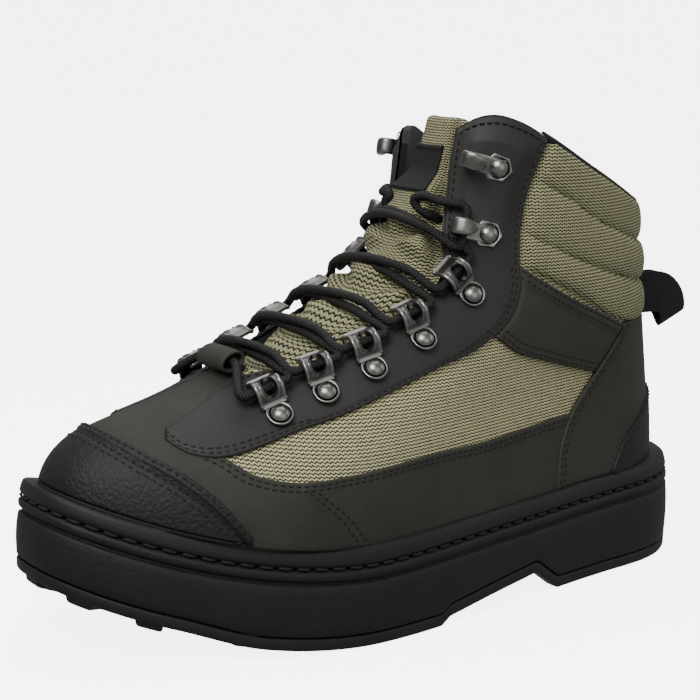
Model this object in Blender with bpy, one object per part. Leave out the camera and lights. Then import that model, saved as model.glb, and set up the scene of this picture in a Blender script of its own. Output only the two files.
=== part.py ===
"""A wading boot for the left foot, as closed solids in metres with +Z up.

The model's own x runs from the back of the sole to the toe, y to the boot's outer side
and z up. The root empty moves all of it so that the origin lies under the heel.
Every form of the upper comes from one function, upper_point, whose sections are shares
of the sole's length, the ball's width and the upper's height. It takes an angle that
runs round the foot, 0 at the back, 1 at the toe or throat and 2 at the back again, with
the outer side between 0 and 1, and a height above the sole's own curve.
"""
import math

import bpy
import bmesh
import numpy as np
from mathutils import Matrix, Vector

for old_object in list(bpy.data.objects):
    bpy.data.objects.remove(old_object, do_unlink=True)

# Driving sizes of the whole boot
SOLE_LENGTH = 0.315
BALL_WIDTH = 0.117
UPPER_HEIGHT = 0.190
CLEARANCE = 0.0003
# Gap under a leather piece whose flat facets bridge the curve of what it lies on
FACET_GAP = 0.0008
# The same under a piece on another piece, as both have flat facets
LAYER_GAP = 2.4 * FACET_GAP

# Sole: thicknesses, measured up from the tread
LUG_DEPTH = 0.0045
OUTSOLE_BAND = 0.0050
OUTSOLE_CROWN = 0.0018
MIDSOLE_FLOOR = 0.0240
MIDSOLE_WALL_TOP = 0.0256
RIB_HEIGHT = 0.0060
WELT_HEIGHT = 0.0074
RIB_GROOVE = 0.0018
EDGE_ROUND = 0.0010
SOLE_LEDGE = 0.0045
OUTSOLE_RIM = 0.0070

# Sole: its curve from the side
TOE_SPRING = 0.0262
HEEL_DROP = 0.0058
HEEL_BEVEL = 0.0040
ARCH_HEIGHT = 0.0100
TOE_TURN = 0.0070
SPRING_START = 0.625
BALL_STATION = 0.635
HEEL_BEVEL_END = 0.080
HEEL_STATION = 0.160
HEEL_CAP = 0.170
TOE_CAP_ROUND = 0.300
HEEL_ROUNDNESS = 2.3
TOE_ROUNDNESS = 2.5

# Each row is a station along the sole: share of the length, then the half widths on the
# outer and the inner side as shares of the ball's width
OUTLINE_COLUMNS = ("station", "outer", "inner")
OUTLINE = (
    (0.000, 0.374, 0.376),
    (0.143, 0.374, 0.376),
    (0.397, 0.449, 0.370),
    (0.651, 0.513, 0.487),
    (0.889, 0.418, 0.431),
    (1.000, 0.376, 0.388),
)

# Each row is a break in the tread's line: share of the length, share of the arch's height
ARCH_COLUMNS = ("station", "height")
ARCH = (
    (0.305, 0.00),
    (0.350, 1.00),
    (0.515, 0.30),
    (0.530, 0.00),
)

# Round the toe the outsole's edge rises above its lugs, between these two stations
TOE_EDGE_GAP = 0.0024
TOE_EDGE_START = 0.780
TOE_EDGE_END = 0.880

# Each row is a section of the upper: share of its height; back and front as shares of
# the length; half widths at heel, waist, ball and toe on the outer and then the inner
# side as shares of the ball's width; lengths of the rounded back and front as shares of
# the length; and the roundness of the front
LEVEL_COLUMNS = (
    "height", "back", "front",
    "outer_heel", "outer_waist", "outer_ball", "outer_toe",
    "inner_heel", "inner_waist", "inner_ball", "inner_toe",
    "round_back", "round_front", "roundness",
)
LEVELS = (
    (0.00, 0.038, 0.966, .322, .404, .458, .385, .318, .330, .424, .395, .160, .300, 2.4),
    (0.08, 0.039, 0.970, .324, .405, .459, .385, .320, .333, .425, .395, .160, .300, 2.4),
    (0.20, 0.045, 0.925, .312, .384, .444, .374, .310, .325, .414, .388, .160, .300, 2.3),
    (0.32, 0.054, 0.805, .302, .354, .405, .362, .302, .320, .400, .375, .160, .310, 2.2),
    (0.42, 0.062, 0.700, .302, .345, .382, .364, .302, .328, .382, .370, .160, .310, 2.1),
    (0.54, 0.072, 0.555, .300, .330, .353, .348, .300, .325, .353, .348, .160, .280, 2.1),
    (0.68, 0.083, 0.478, .304, .324, .339, .339, .304, .324, .339, .339, .160, .240, 2.1),
    (0.84, 0.089, 0.452, .323, .341, .349, .349, .323, .341, .349, .349, .165, .200, 2.1),
    (1.02, 0.092, 0.446, .334, .344, .349, .349, .334, .344, .349, .349, .165, .185, 2.1),
)
WIDTH_STATIONS = (0.12, 0.42, 0.70, 0.92)
BACK_ROUNDNESS = 2.1

# The collar's top line: angle round the foot, share of the upper's height
COLLAR_COLUMNS = ("angle", "height")
COLLAR = (
    (0.000, 0.680),
    (0.266, 0.709),
    (0.449, 0.779),
    (0.613, 0.862),
    (0.690, 0.898),
    (0.750, 0.912),
    (0.810, 0.906),
    (0.870, 0.880),
    (1.000, 0.860),
)

# How much lower the front of the collar ends on the inner side, as a share of the upper's
# height, and the angles between which the lower line begins
INNER_DROP = 0.042
INNER_DROP_START = 0.42
INNER_DROP_END = 0.66

# The throat: share of the upper's height, half gap as a share of the ball's width
THROAT_COLUMNS = ("height", "half_gap")
THROAT = (
    (0.386, 0.000),
    (0.393, 0.105),
    (0.405, 0.158),
    (0.440, 0.200),
    (0.480, 0.222),
    (0.530, 0.230),
    (0.590, 0.212),
    (0.650, 0.172),
    (0.710, 0.147),
    (0.780, 0.138),
    (0.900, 0.145),
)

# Wall thicknesses of the upper, and of what lies on it
UPPER_WALL = 0.0026
COLLAR_WALL = 0.0075
# The collar's padding: share of height where it starts and how far it takes to be full,
# angle where it ends and how far it takes to fade, and how far its top is rounded off
PADDING_START = 0.42
PADDING_RISE = 0.12
PADDING_FRONT = 0.66
PADDING_FADE = 0.10
PADDING_ROUND = 0.05
OVERLAY_THICKNESS = 0.0012
INSOLE_THICKNESS = 0.0042
TONGUE_THICKNESS = 0.0050
TONGUE_HALF_WIDTH = 0.0290
TONGUE_UNDERLAP = 0.0022
TONGUE_RECESS = 0.0080
TONGUE_LEAN = 0.660
TONGUE_BOTTOM = 0.285
TONGUE_TOP = 0.905
# Half gap that the tongue keeps where the throat closes, how wide its shoulder is, and how
# far it lies under the eyestay's surface
TONGUE_NARROWEST = 0.0090
TONGUE_SHOULDER = 0.0035
TONGUE_SINK = 0.0006
# Share of the upper's height over which it comes up into the throat
TONGUE_CLIMB = 0.035
# Its top corners: where they begin sideways, how wide they are and how low they end
TONGUE_CORNER = 0.0100
TONGUE_CORNER_WIDTH = 0.0190
TONGUE_CORNER_DROP = 0.045
LABEL_WIDTH = 0.0194
LABEL_BOTTOM = 0.745
LABEL_TOP = 0.845
LABEL_THICKNESS = 0.0008
LABEL_GAP = 0.0005

# Hardware, in its own frame: across runs to the throat and along follows its edge
RIVET_RADIUS = 0.0037
RIVET_HEIGHT = 0.0022
PLATE_THICKNESS = 0.0011
EYELET_LENGTH = 0.0100
HOOK_WIDTH = 0.0088
TUNNEL_CENTRE = 0.0108
LACE_RADIUS = 0.0018

# Each row is a lace holder: angle and share of the upper's height of its rivet, and
# degrees by which its plate turns from straight up toward the throat
EYELETS = (
    (0.787, 0.319, 25),
    (0.760, 0.365, 19),
    (0.722, 0.405, 20),
    (0.687, 0.453, 22),
    (0.676, 0.534, 40),
)
HOOKS = (
    (0.712, 0.658, 80),
    (0.732, 0.801, 75),
)
PLATE_MIDDLE = 0.0070
# How much further from the throat the inner side's hooks stand, as an angle
INNER_HOOK_SHIFT = 0.050
# How much higher a holder's tunnel lies than its rivet, as a share of the upper's height
TUNNEL_RISE = 0.040

# Lace keeper at the vamp's top end, and the pull loop behind the heel
KEEPER_HALF_WIDTH = 0.0095
KEEPER_HEIGHT = 0.0026
KEEPER_LENGTH = 0.0085
KEEPER_WALL = 0.0013
KEEPER_LEVEL = 0.384
LOOP_WIDTH = 0.0195
LOOP_THICKNESS = 0.0015
LOOP_REACH = 0.0400
LOOP_EYE = 0.0030
LOOP_TURN_RADIUS = 0.0135
LOOP_LEVEL = 0.445
LOOP_TURN = 71
LOOP_TAIL = 0.0040
LOOP_ROOT = 0.0017
# Least width of the loop's eye at its root, as a share of its length
LOOP_NARROWEST = 0.03

# Numbers of facets
SOLE_COLUMNS = 22
UPPER_COLUMNS = 42
UPPER_LOW_ROWS = 6
# Where round the foot the upper's columns begin to make room for the throat
THROAT_ROOM = 0.30
LACE_SIDES = 5


def smooth(table, columns, name, share):
    """Smooth curve through one named column of a table, over the table's first column."""
    rows = np.array(table)
    knots = rows[:, 0]
    values = rows[:, columns.index(name)]
    slopes = np.gradient(values, knots)
    share = np.clip(share, knots[0], knots[-1])
    k = np.clip(np.searchsorted(knots, share, side="right") - 1, 0, len(knots) - 2)
    width = knots[k + 1] - knots[k]
    t = (share - knots[k]) / width
    start = (1 + 2 * t) * (1 - t) ** 2 * values[k] + t * (1 - t) ** 2 * width * slopes[k]
    end = t * t * (3 - 2 * t) * values[k + 1] + t * t * (t - 1) * width * slopes[k + 1]
    return start + end


def straight(table, columns, name, share):
    """Straight lines through one named column of a table, over its first column."""
    rows = np.array(table)
    return np.interp(share, rows[:, 0], rows[:, columns.index(name)])


def toe_rise(x):
    """Height by which the toe spring lifts everything at x."""
    t = np.clip((x / SOLE_LENGTH - SPRING_START) / (1 - SPRING_START), 0, None)
    return TOE_SPRING * t ** 2


def heel_rise(x):
    """Extra height of the foot bed behind the ball."""
    return HEEL_DROP * np.clip(1 - x / (BALL_STATION * SOLE_LENGTH), 0, None)


def centre_line(x):
    """How far the boot's middle line turns to the inner side at x."""
    share = np.clip((x / SOLE_LENGTH - 0.54) / 0.46, 0, None)
    return -TOE_TURN * share ** 1.6


def tread(x):
    """Lowest line of the tread at x, with toe spring, arch and heel bevel."""
    arch = ARCH_HEIGHT * straight(ARCH, ARCH_COLUMNS, "height", x / SOLE_LENGTH)
    bevel = np.clip(1 - x / (HEEL_BEVEL_END * SOLE_LENGTH), 0, 1)
    return toe_rise(x) + arch + HEEL_BEVEL * bevel ** 2


def rim_gap(x):
    """Height of the outsole's edge above the tread at x, which only the toe has."""
    part = (x / SOLE_LENGTH - TOE_EDGE_START) / (TOE_EDGE_END - TOE_EDGE_START)
    return TOE_EDGE_GAP * smooth_step(part)


def band_top(x):
    """Top of the outsole's edge band at x."""
    return tread(x) + rim_gap(x) + OUTSOLE_BAND


def bed(x, height):
    """A height above the sole's own curve at x, for midsole, welt and insole."""
    return height + toe_rise(x) + heel_rise(x)


def sole_angles():
    """Angles of the sole's sections, with one at each break of the tread."""
    regular = np.linspace(0, 1, SOLE_COLUMNS + 1)
    breaks = np.array([row[0] for row in ARCH])
    wanted = np.arccos(1 - 2 * breaks) / math.pi
    spread = 0.45 / SOLE_COLUMNS
    kept = [a for a in regular if np.min(np.abs(wanted - a)) > spread or a in (0.0, 1.0)]
    side = np.sort(np.concatenate([kept, wanted]))
    return np.concatenate([side, (2 - side[1:-1])[::-1]])


def outline(angle, inset):
    """Points x, y of the sole's outline, moved in by inset."""
    def edge(at):
        along = (1 - np.cos(np.pi * at)) / 2
        outer = smooth(OUTLINE, OUTLINE_COLUMNS, "outer", along)
        inner = smooth(OUTLINE, OUTLINE_COLUMNS, "inner", along)
        back = np.clip(1 - along / HEEL_CAP, 0, 1) ** HEEL_ROUNDNESS
        front = np.clip(1 - (1 - along) / TOE_CAP_ROUND, 0, 1) ** TOE_ROUNDNESS
        cap = (1 - back) ** (1 / HEEL_ROUNDNESS) * (1 - front) ** (1 / TOE_ROUNDNESS)
        half = np.where(np.sin(np.pi * at) >= 0, outer, -inner) * BALL_WIDTH
        x = along * SOLE_LENGTH
        return np.stack([x, half * cap + centre_line(x)], -1)
    step = 0.004
    point = edge(angle)
    tangent = edge(angle + step) - edge(angle - step)
    normal = np.stack([-tangent[..., 1], tangent[..., 0]], -1)
    normal /= np.linalg.norm(normal, axis=-1, keepdims=True)
    return point - inset * normal


def upper_point(angle, height):
    """Point of the upper's outer surface at an angle and a height in metres."""
    angle, height = np.broadcast_arrays(np.asarray(angle, float), np.asarray(height, float))
    share = (height - MIDSOLE_FLOOR) / UPPER_HEIGHT
    value = {name: smooth(LEVELS, LEVEL_COLUMNS, name, share) for name in LEVEL_COLUMNS[1:]}
    along = (1 - np.cos(np.pi * angle)) / 2
    length = value["front"] - value["back"]
    x = value["back"] + length * along
    outer = 0
    inner = 0
    for k, station in enumerate(WIDTH_STATIONS):
        weight = 1.0
        for other in WIDTH_STATIONS:
            if other != station:
                weight = weight * (along - other) / (station - other)
        outer = outer + weight * value[LEVEL_COLUMNS[3 + k]]
        inner = inner + weight * value[LEVEL_COLUMNS[7 + k]]
    back = np.clip(1 - (x - value["back"]) / value["round_back"], 0, 1) ** BACK_ROUNDNESS
    front = np.clip(1 - (value["front"] - x) / value["round_front"], 0, 1) ** value["roundness"]
    cap = (1 - back) ** (1 / BACK_ROUNDNESS) * (1 - front) ** (1 / value["roundness"])
    half = np.where(np.sin(np.pi * angle) >= 0, outer, -inner) * BALL_WIDTH
    x = x * SOLE_LENGTH
    return np.stack([x, half * cap + centre_line(x), bed(x, height)], -1)


def upper_normal(angle, height):
    """Outward unit normal of the upper's surface."""
    step_angle = 0.004
    step_height = 0.0006
    along = upper_point(angle + step_angle, height) - upper_point(angle - step_angle, height)
    up = upper_point(angle, height + step_height) - upper_point(angle, height - step_height)
    normal = np.cross(up, along)
    return normal / np.linalg.norm(normal, axis=-1, keepdims=True)


def offset_point(angle, height, distance):
    """Point at a distance outside the upper's surface."""
    normal = upper_normal(angle, height)
    return upper_point(angle, height) + normal * np.asarray(distance)[..., None]


def level(share):
    """Height in metres of a share of the upper's height."""
    return MIDSOLE_FLOOR + UPPER_HEIGHT * np.asarray(share, float)


def half_gap(share):
    """Half of the throat's width at a share of the upper's height."""
    return BALL_WIDTH * smooth(THROAT, THROAT_COLUMNS, "half_gap", share)


def angle_at_offset(share, sideways):
    """Angle at which the surface lies sideways of the middle line, positive to outside."""
    share, sideways = np.broadcast_arrays(np.asarray(share, float), np.asarray(sideways, float))
    near = np.linspace(0, 0.5, 90)
    found = np.empty(share.shape)
    for place in np.ndindex(share.shape):
        side = 1 if sideways[place] >= 0 else -1
        points = upper_point(1 - side * near, level(share[place]))
        reach = side * (points[:, 1] - centre_line(points[:, 0]))
        turn = np.interp(abs(sideways[place]), np.maximum.accumulate(reach), near)
        found[place] = 1 - side * turn
    return found


def throat_angle(share):
    """Angle of the throat's outer edge, or 1 below the throat."""
    share = np.asarray(share, float)
    inside = share > THROAT[0][0]
    return np.where(inside, angle_at_offset(share, half_gap(share)), 1.0)


def smooth_step(value):
    """Smooth step from 0 at 0 to 1 at 1."""
    t = np.clip(value, 0, 1)
    return t * t * (3 - 2 * t)


def fold(angle):
    """The same angle on the outer side."""
    return np.where(angle > 1, 2 - angle, np.abs(angle))


def full_collar(angle):
    """Share of the upper's height at which the outer side's collar ends."""
    return smooth(COLLAR, COLLAR_COLUMNS, "height", fold(angle))


def inner_drop(angle):
    """How much lower the collar ends at an angle than on the outer side."""
    inside = (angle > 1) | (angle < 0)
    part = (fold(angle) - INNER_DROP_START) / (INNER_DROP_END - INNER_DROP_START)
    return np.where(inside, INNER_DROP * smooth_step(part), 0.0)


def collar_share(angle):
    """Share of the upper's height at which the collar ends."""
    return full_collar(angle) - inner_drop(angle)


def wall_thickness(angle, share):
    """Thickness of the upper's wall, padded round the collar."""
    padded = np.clip((share - PADDING_START) / PADDING_RISE, 0, 1)
    padded = padded * np.clip((PADDING_FRONT - fold(angle)) / PADDING_FADE, 0, 1)
    rounded = np.clip((collar_share(angle) - share) / PADDING_ROUND, 0, 1) ** 0.5
    return UPPER_WALL + (COLLAR_WALL - UPPER_WALL) * padded * rounded


def make_material(name, colour, roughness, metallic=0.0):
    """Principled material with a plain colour."""
    material = bpy.data.materials.new(name)
    material.use_nodes = True
    shader = material.node_tree.nodes["Principled BSDF"]
    shader.inputs["Base Color"].default_value = (*colour, 1.0)
    shader.inputs["Roughness"].default_value = roughness
    shader.inputs["Metallic"].default_value = metallic
    return material


MATERIALS = {
    "black_rubber": make_material("black_rubber", (0.012, 0.012, 0.012), 0.65),
    "midsole_foam": make_material("midsole_foam", (0.014, 0.014, 0.014), 0.75),
    "olive_leather": make_material("olive_leather", (0.042, 0.042, 0.034), 0.70),
    "charcoal_leather": make_material("charcoal_leather", (0.030, 0.028, 0.026), 0.55),
    "black_leather": make_material("black_leather", (0.010, 0.010, 0.010), 0.60),
    "khaki_mesh": make_material("khaki_mesh", (0.250, 0.230, 0.110), 0.90),
    "black_fabric": make_material("black_fabric", (0.008, 0.008, 0.008), 0.90),
    "antique_nickel": make_material("antique_nickel", (0.300, 0.300, 0.310), 0.35, 1.0),
}

ROOT = bpy.data.objects.new("boot_root", None)
ROOT.location = (-HEEL_STATION * SOLE_LENGTH, 0, 0)
bpy.context.scene.collection.objects.link(ROOT)


def make_object(name, points, faces, material):
    """Object under the root from points and faces, with its faces turned outward."""
    mesh = bpy.data.meshes.new(name)
    mesh.from_pydata([tuple(map(float, p)) for p in points], [], faces)
    mesh.validate()
    work = bmesh.new()
    work.from_mesh(mesh)
    bmesh.ops.recalc_face_normals(work, faces=work.faces)
    work.to_mesh(mesh)
    work.free()
    mesh.materials.append(MATERIALS[material])
    mesh.shade_smooth()
    mesh.set_sharp_from_angle(angle=math.radians(40))
    made = bpy.data.objects.new(name, mesh)
    made.parent = ROOT
    bpy.context.scene.collection.objects.link(made)
    return made


def ladder(first, count, flip):
    """Faces that close a ring whose two sides mirror each other, rung by rung."""
    half = count // 2
    faces = [(first, first + 1, first + count - 1)]
    for k in range(1, half - 1):
        faces.append((first + k, first + k + 1, first + count - k - 1, first + count - k))
    faces.append((first + half - 1, first + half, first + half + 1))
    return [face[::-1] for face in faces] if flip else faces


def lofted(name, rings, material, as_tube=False):
    """Solid through rings of equal length: closed by ladders, or into a tube of rings."""
    count = len(rings[0])
    faces = []
    pairs = len(rings) if as_tube else len(rings) - 1
    for r in range(pairs):
        low = r * count
        high = (r + 1) % len(rings) * count
        for k in range(count):
            after = (k + 1) % count
            faces.append((low + k, low + after, high + after, high + k))
    if not as_tube:
        faces += ladder(0, count, True)
        faces += ladder((len(rings) - 1) * count, count, False)
    return make_object(name, np.concatenate(rings), faces, material)


def unite(target, others):
    """Join other closed objects into the target, and remove them."""
    for other in others:
        joining = target.modifiers.new("join", "BOOLEAN")
        joining.operation = "UNION"
        joining.object = other
        depsgraph = bpy.context.evaluated_depsgraph_get()
        mesh = bpy.data.meshes.new_from_object(target.evaluated_get(depsgraph))
        target.modifiers.clear()
        target.data = mesh
        bpy.data.objects.remove(other, do_unlink=True)
    return target


def sole_ring(inset, height):
    """Ring of the sole's outline at an inset, with its height as a function of x."""
    flat = outline(sole_angles(), inset)
    return np.concatenate([flat, height(flat[:, 0])[:, None]], -1)


def upper_ring(distance, height):
    """Ring round the upper at a height, at a distance outside its surface."""
    angles = sole_angles()
    return offset_point(angles, np.full(len(angles), height), np.full(len(angles), distance))


# Lugs: station along the sole; place across as a share of the half width there, positive
# to the outer side; length across and width along in metres; turn in degrees
LUGS = (
    (0.160, 0.00, 0.0300, 0.0130, 0),
    (0.090, 0.45, 0.0160, 0.0110, 24),
    (0.090, -0.45, 0.0160, 0.0110, -24),
    (0.215, 0.42, 0.0180, 0.0110, -24),
    (0.215, -0.42, 0.0180, 0.0110, 24),
    (0.272, 0.00, 0.0200, 0.0100, 0),
    (0.585, 0.00, 0.0300, 0.0140, 0),
    (0.560, 0.56, 0.0180, 0.0110, 24),
    (0.560, -0.56, 0.0180, 0.0110, -24),
    (0.640, 0.45, 0.0200, 0.0110, -24),
    (0.640, -0.45, 0.0200, 0.0110, 24),
    (0.690, 0.00, 0.0220, 0.0110, 0),
    (0.715, 0.50, 0.0200, 0.0110, -24),
    (0.715, -0.50, 0.0200, 0.0110, 24),
    (0.770, 0.00, 0.0240, 0.0110, 0),
    (0.800, 0.48, 0.0180, 0.0110, -20),
    (0.800, -0.48, 0.0180, 0.0110, 20),
    (0.870, 0.00, 0.0240, 0.0110, 0),
)
# Lugs that stand at the outsole's edge round the toe: angle round the sole
TOE_LUG_ANGLES = (0.71, 0.806, 0.900, 1.0, 1.100, 1.194, 1.29)
TOE_LUG_LENGTH = 0.0150
TOE_LUG_WIDTH = 0.0115
LUG_TAPER = 0.0010
LUG_ROOT = 0.0012


def lug(name, centre, across, length, width):
    """One tapered block under the outsole's plate, its foot on the tread's line."""
    along = np.array([across[1], -across[0]])
    points = []
    for taper, root in ((LUG_TAPER, False), (0.0, True)):
        for side, end in ((1, 1), (1, -1), (-1, -1), (-1, 1)):
            spot = centre + across * side * (length / 2 - taper) + along * end * (width / 2 - taper)
            height = tread(spot[0]) + (LUG_DEPTH + LUG_ROOT if root else 0)
            points.append((spot[0], spot[1], height))
    faces = [(0, 1, 2, 3), (7, 6, 5, 4)]
    faces += [(k, (k + 1) % 4, (k + 1) % 4 + 4, k + 4) for k in range(4)]
    return make_object(name, points, faces, "black_rubber")


def build_outsole():
    """Outsole: edge band, rim and plate in one loft, with the lugs joined on."""
    def plate(x):
        return tread(x) + LUG_DEPTH
    def rim(x):
        return tread(x) + rim_gap(x)
    rings = [
        sole_ring(OUTSOLE_RIM + EDGE_ROUND, plate),
        sole_ring(OUTSOLE_RIM, rim),
        sole_ring(EDGE_ROUND, rim),
        sole_ring(0, lambda x: rim(x) + EDGE_ROUND),
        sole_ring(0, band_top),
        sole_ring(SOLE_LEDGE, band_top),
        sole_ring(SOLE_LEDGE + EDGE_ROUND, lambda x: band_top(x) + OUTSOLE_CROWN),
    ]
    outsole = lofted("outsole", rings, "black_rubber")
    blocks = []
    for number, (station, sideways, length, width, turn) in enumerate(LUGS):
        x = station * SOLE_LENGTH
        side = "outer" if sideways >= 0 else "inner"
        half = BALL_WIDTH * smooth(OUTLINE, OUTLINE_COLUMNS, side, station)
        centre = np.array([x, centre_line(x) + sideways * half])
        angle = math.radians(turn)
        across = np.array([math.sin(angle), math.cos(angle)])
        blocks.append(lug(f"lug_{number}", centre, across, length, width))
    for number, angle in enumerate(TOE_LUG_ANGLES):
        spot = outline(np.array(angle), TOE_LUG_LENGTH / 2 + EDGE_ROUND / 2)
        outward = outline(np.array(angle), 0) - spot
        across = outward / np.linalg.norm(outward)
        blocks.append(lug(f"toe_lug_{number}", spot, across, TOE_LUG_LENGTH, TOE_LUG_WIDTH))
    return unite(outsole, blocks)


def build_midsole():
    """Midsole: a cup with its main wall, the rib above it and a floor for the upper."""
    rib_low = MIDSOLE_WALL_TOP
    rib_top = MIDSOLE_WALL_TOP + RIB_HEIGHT
    def under(x):
        return band_top(x) + CLEARANCE
    rings = [
        sole_ring(SOLE_LEDGE + EDGE_ROUND - CLEARANCE, lambda x: under(x) + OUTSOLE_CROWN),
        sole_ring(SOLE_LEDGE - CLEARANCE, under),
        sole_ring(EDGE_ROUND, under),
        sole_ring(0, lambda x: under(x) + EDGE_ROUND),
        sole_ring(0.0006, lambda x: bed(x, rib_low)),
        sole_ring(RIB_GROOVE + 0.0006, lambda x: bed(x, rib_low + 0.0009)),
        sole_ring(0.0010, lambda x: bed(x, rib_low + 0.0022)),
        sole_ring(0.0010, lambda x: bed(x, rib_top - 0.0016)),
        sole_ring(RIB_GROOVE + 0.0008, lambda x: bed(x, rib_top)),
        upper_ring(FACET_GAP, rib_top),
        upper_ring(FACET_GAP, MIDSOLE_FLOOR),
    ]
    return lofted("midsole", rings, "midsole_foam")


def build_welt():
    """Welt: the stitched band round the upper's foot, on the midsole's rib."""
    low = MIDSOLE_WALL_TOP + RIB_HEIGHT + CLEARANCE
    top = low + WELT_HEIGHT
    rings = [
        upper_ring(FACET_GAP, low),
        sole_ring(RIB_GROOVE + 0.0008, lambda x: bed(x, low)),
        sole_ring(0.0014, lambda x: bed(x, low + 0.0014)),
        sole_ring(0.0020, lambda x: bed(x, top - 0.0026)),
        sole_ring(0.0030, lambda x: bed(x, top - 0.0008)),
        upper_ring(FACET_GAP + 0.0008, top),
        upper_ring(FACET_GAP, top - 0.0008),
    ]
    return lofted("welt", rings, "black_rubber", as_tube=True)


def build_insole():
    """Insole: a thin slab on the midsole's floor, inside the upper's wall."""
    inset = -(UPPER_WALL + 2 * CLEARANCE)
    low = MIDSOLE_FLOOR + CLEARANCE
    rings = [
        upper_ring(inset - EDGE_ROUND, low),
        upper_ring(inset, low + EDGE_ROUND),
        upper_ring(inset, low + INSOLE_THICKNESS),
    ]
    return lofted("insole", rings, "black_fabric")


def grid_faces(grid, flip=False):
    """Quads over a grid of point numbers."""
    faces = []
    for r in range(grid.shape[0] - 1):
        for c in range(grid.shape[1] - 1):
            face = [grid[r, c], grid[r, c + 1], grid[r + 1, c + 1], grid[r + 1, c]]
            corners = []
            for corner in face:
                if corner not in corners:
                    corners.append(int(corner))
            if len(corners) > 2:
                faces.append(tuple(corners[::-1]) if flip else tuple(corners))
    return faces


def build_upper():
    """Upper: one shell, closed round the toe, open at throat, collar and underneath."""
    ends = float(collar_share(throat_angle(COLLAR[-2][1])))
    base = THROAT[0][0] / ends
    low = np.linspace(0, base, UPPER_LOW_ROWS + 1)
    high = [row[0] / ends for row in THROAT[1:-1]] + [(THROAT[-2][0] / ends + 1) / 2, 1.0]
    climb = np.concatenate([low, high])
    turn = np.linspace(-1, 1, UPPER_COLUMNS + 1)
    edge = throat_angle(climb * ends)
    edge[:UPPER_LOW_ROWS + 1] = 1.0
    near = np.clip((np.abs(turn) - THROAT_ROOM) / (1 - THROAT_ROOM), 0, 1)
    room = smooth_step(near) * np.sign(turn)
    angles = turn[None, :] - (1 - edge)[:, None] * room[None, :]
    top = full_collar(angles[-1])
    dropped = smooth_step((climb - high[-3]) / (1 - high[-3]))
    shares = climb[:, None] * top[None, :] - dropped[:, None] * inner_drop(angles[-1])[None, :]
    foot = MIDSOLE_FLOOR + CLEARANCE
    heights = np.maximum(level(shares), foot)
    outer = upper_point(angles, heights)
    inner = offset_point(angles, heights, -wall_thickness(angles, shares))
    count = outer.shape[0] * outer.shape[1]
    numbers = np.arange(count).reshape(outer.shape[:2])
    numbers[:UPPER_LOW_ROWS + 1, -1] = numbers[:UPPER_LOW_ROWS + 1, 0]
    inside = numbers + count
    faces = grid_faces(numbers) + grid_faces(inside, flip=True)
    faces += grid_faces(np.stack([inside[0], numbers[0]]))
    faces += grid_faces(np.stack([numbers[-1], inside[-1]]))
    open_rows = slice(UPPER_LOW_ROWS, None)
    faces += grid_faces(np.stack([numbers[open_rows, 0], inside[open_rows, 0]]))
    faces += grid_faces(np.stack([inside[open_rows, -1], numbers[open_rows, -1]]))
    points = np.concatenate([outer.reshape(-1, 3), inner.reshape(-1, 3)])
    used = sorted({number for face in faces for number in face})
    renumber = {number: place for place, number in enumerate(used)}
    faces = [tuple(renumber[number] for number in face) for face in faces]
    return make_object("upper", points[used], faces, "olive_leather")


def slab(name, angles, shares, low, high, material):
    """Closed piece between two distances from the upper's surface, over a grid."""
    heights = level(shares)
    under = offset_point(angles, heights, np.broadcast_to(low, angles.shape))
    over = offset_point(angles, heights, np.broadcast_to(high, angles.shape))
    return closed_grid(name, under, over, material)


def closed_grid(name, under, over, material):
    """Closed piece from an under and an over surface with the same grid."""
    count = under.shape[0] * under.shape[1]
    low = np.arange(count).reshape(under.shape[:2])
    high = low + count
    faces = grid_faces(low, flip=True) + grid_faces(high)
    for line in ((0, slice(None)), (-1, slice(None)), (slice(None), 0), (slice(None), -1)):
        faces += grid_faces(np.stack([low[line], high[line]]))
    points = np.concatenate([under.reshape(-1, 3), over.reshape(-1, 3)])
    return make_object(name, points, faces, material)


def overlay(name, angles, shares, material, layer=0):
    """Leather piece on the upper, or on another overlay where its layer is 1."""
    low = FACET_GAP + layer * (OVERLAY_THICKNESS + LAYER_GAP)
    return slab(name, angles, shares, low, low + OVERLAY_THICKNESS, material)


# Lowest lines of the toe cap and of the heel pieces, just above the welt's top, as shares
# of the upper's height
WELT_TOP = MIDSOLE_WALL_TOP + RIB_HEIGHT + CLEARANCE + WELT_HEIGHT
CAP_FOOT = (WELT_TOP + 2 * CLEARANCE - MIDSOLE_FLOOR) / UPPER_HEIGHT
HEEL_FOOT = (WELT_TOP + 7 * CLEARANCE - MIDSOLE_FLOOR) / UPPER_HEIGHT

# Toe cap: angle, share of the upper's height at its upper edge
CAP_COLUMNS = ("angle", "height")
CAP_EDGE = (
    (0.716, 0.098),
    (0.735, 0.128),
    (0.761, 0.158),
    (0.795, 0.182),
    (0.866, 0.206),
    (0.930, 0.217),
    (1.000, 0.221),
)

# Heel panel and heel counter: share of the upper's height, half angle round the back
HEEL_COLUMNS = ("height", "half_angle")
HEEL_PANEL = (
    (0.092, 0.357),
    (0.185, 0.353),
    (0.243, 0.345),
    (0.324, 0.315),
    (0.425, 0.266),
)
HEEL_COUNTER = (
    (0.092, 0.262),
    (0.168, 0.220),
    (0.212, 0.156),
    (0.250, 0.060),
)

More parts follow.
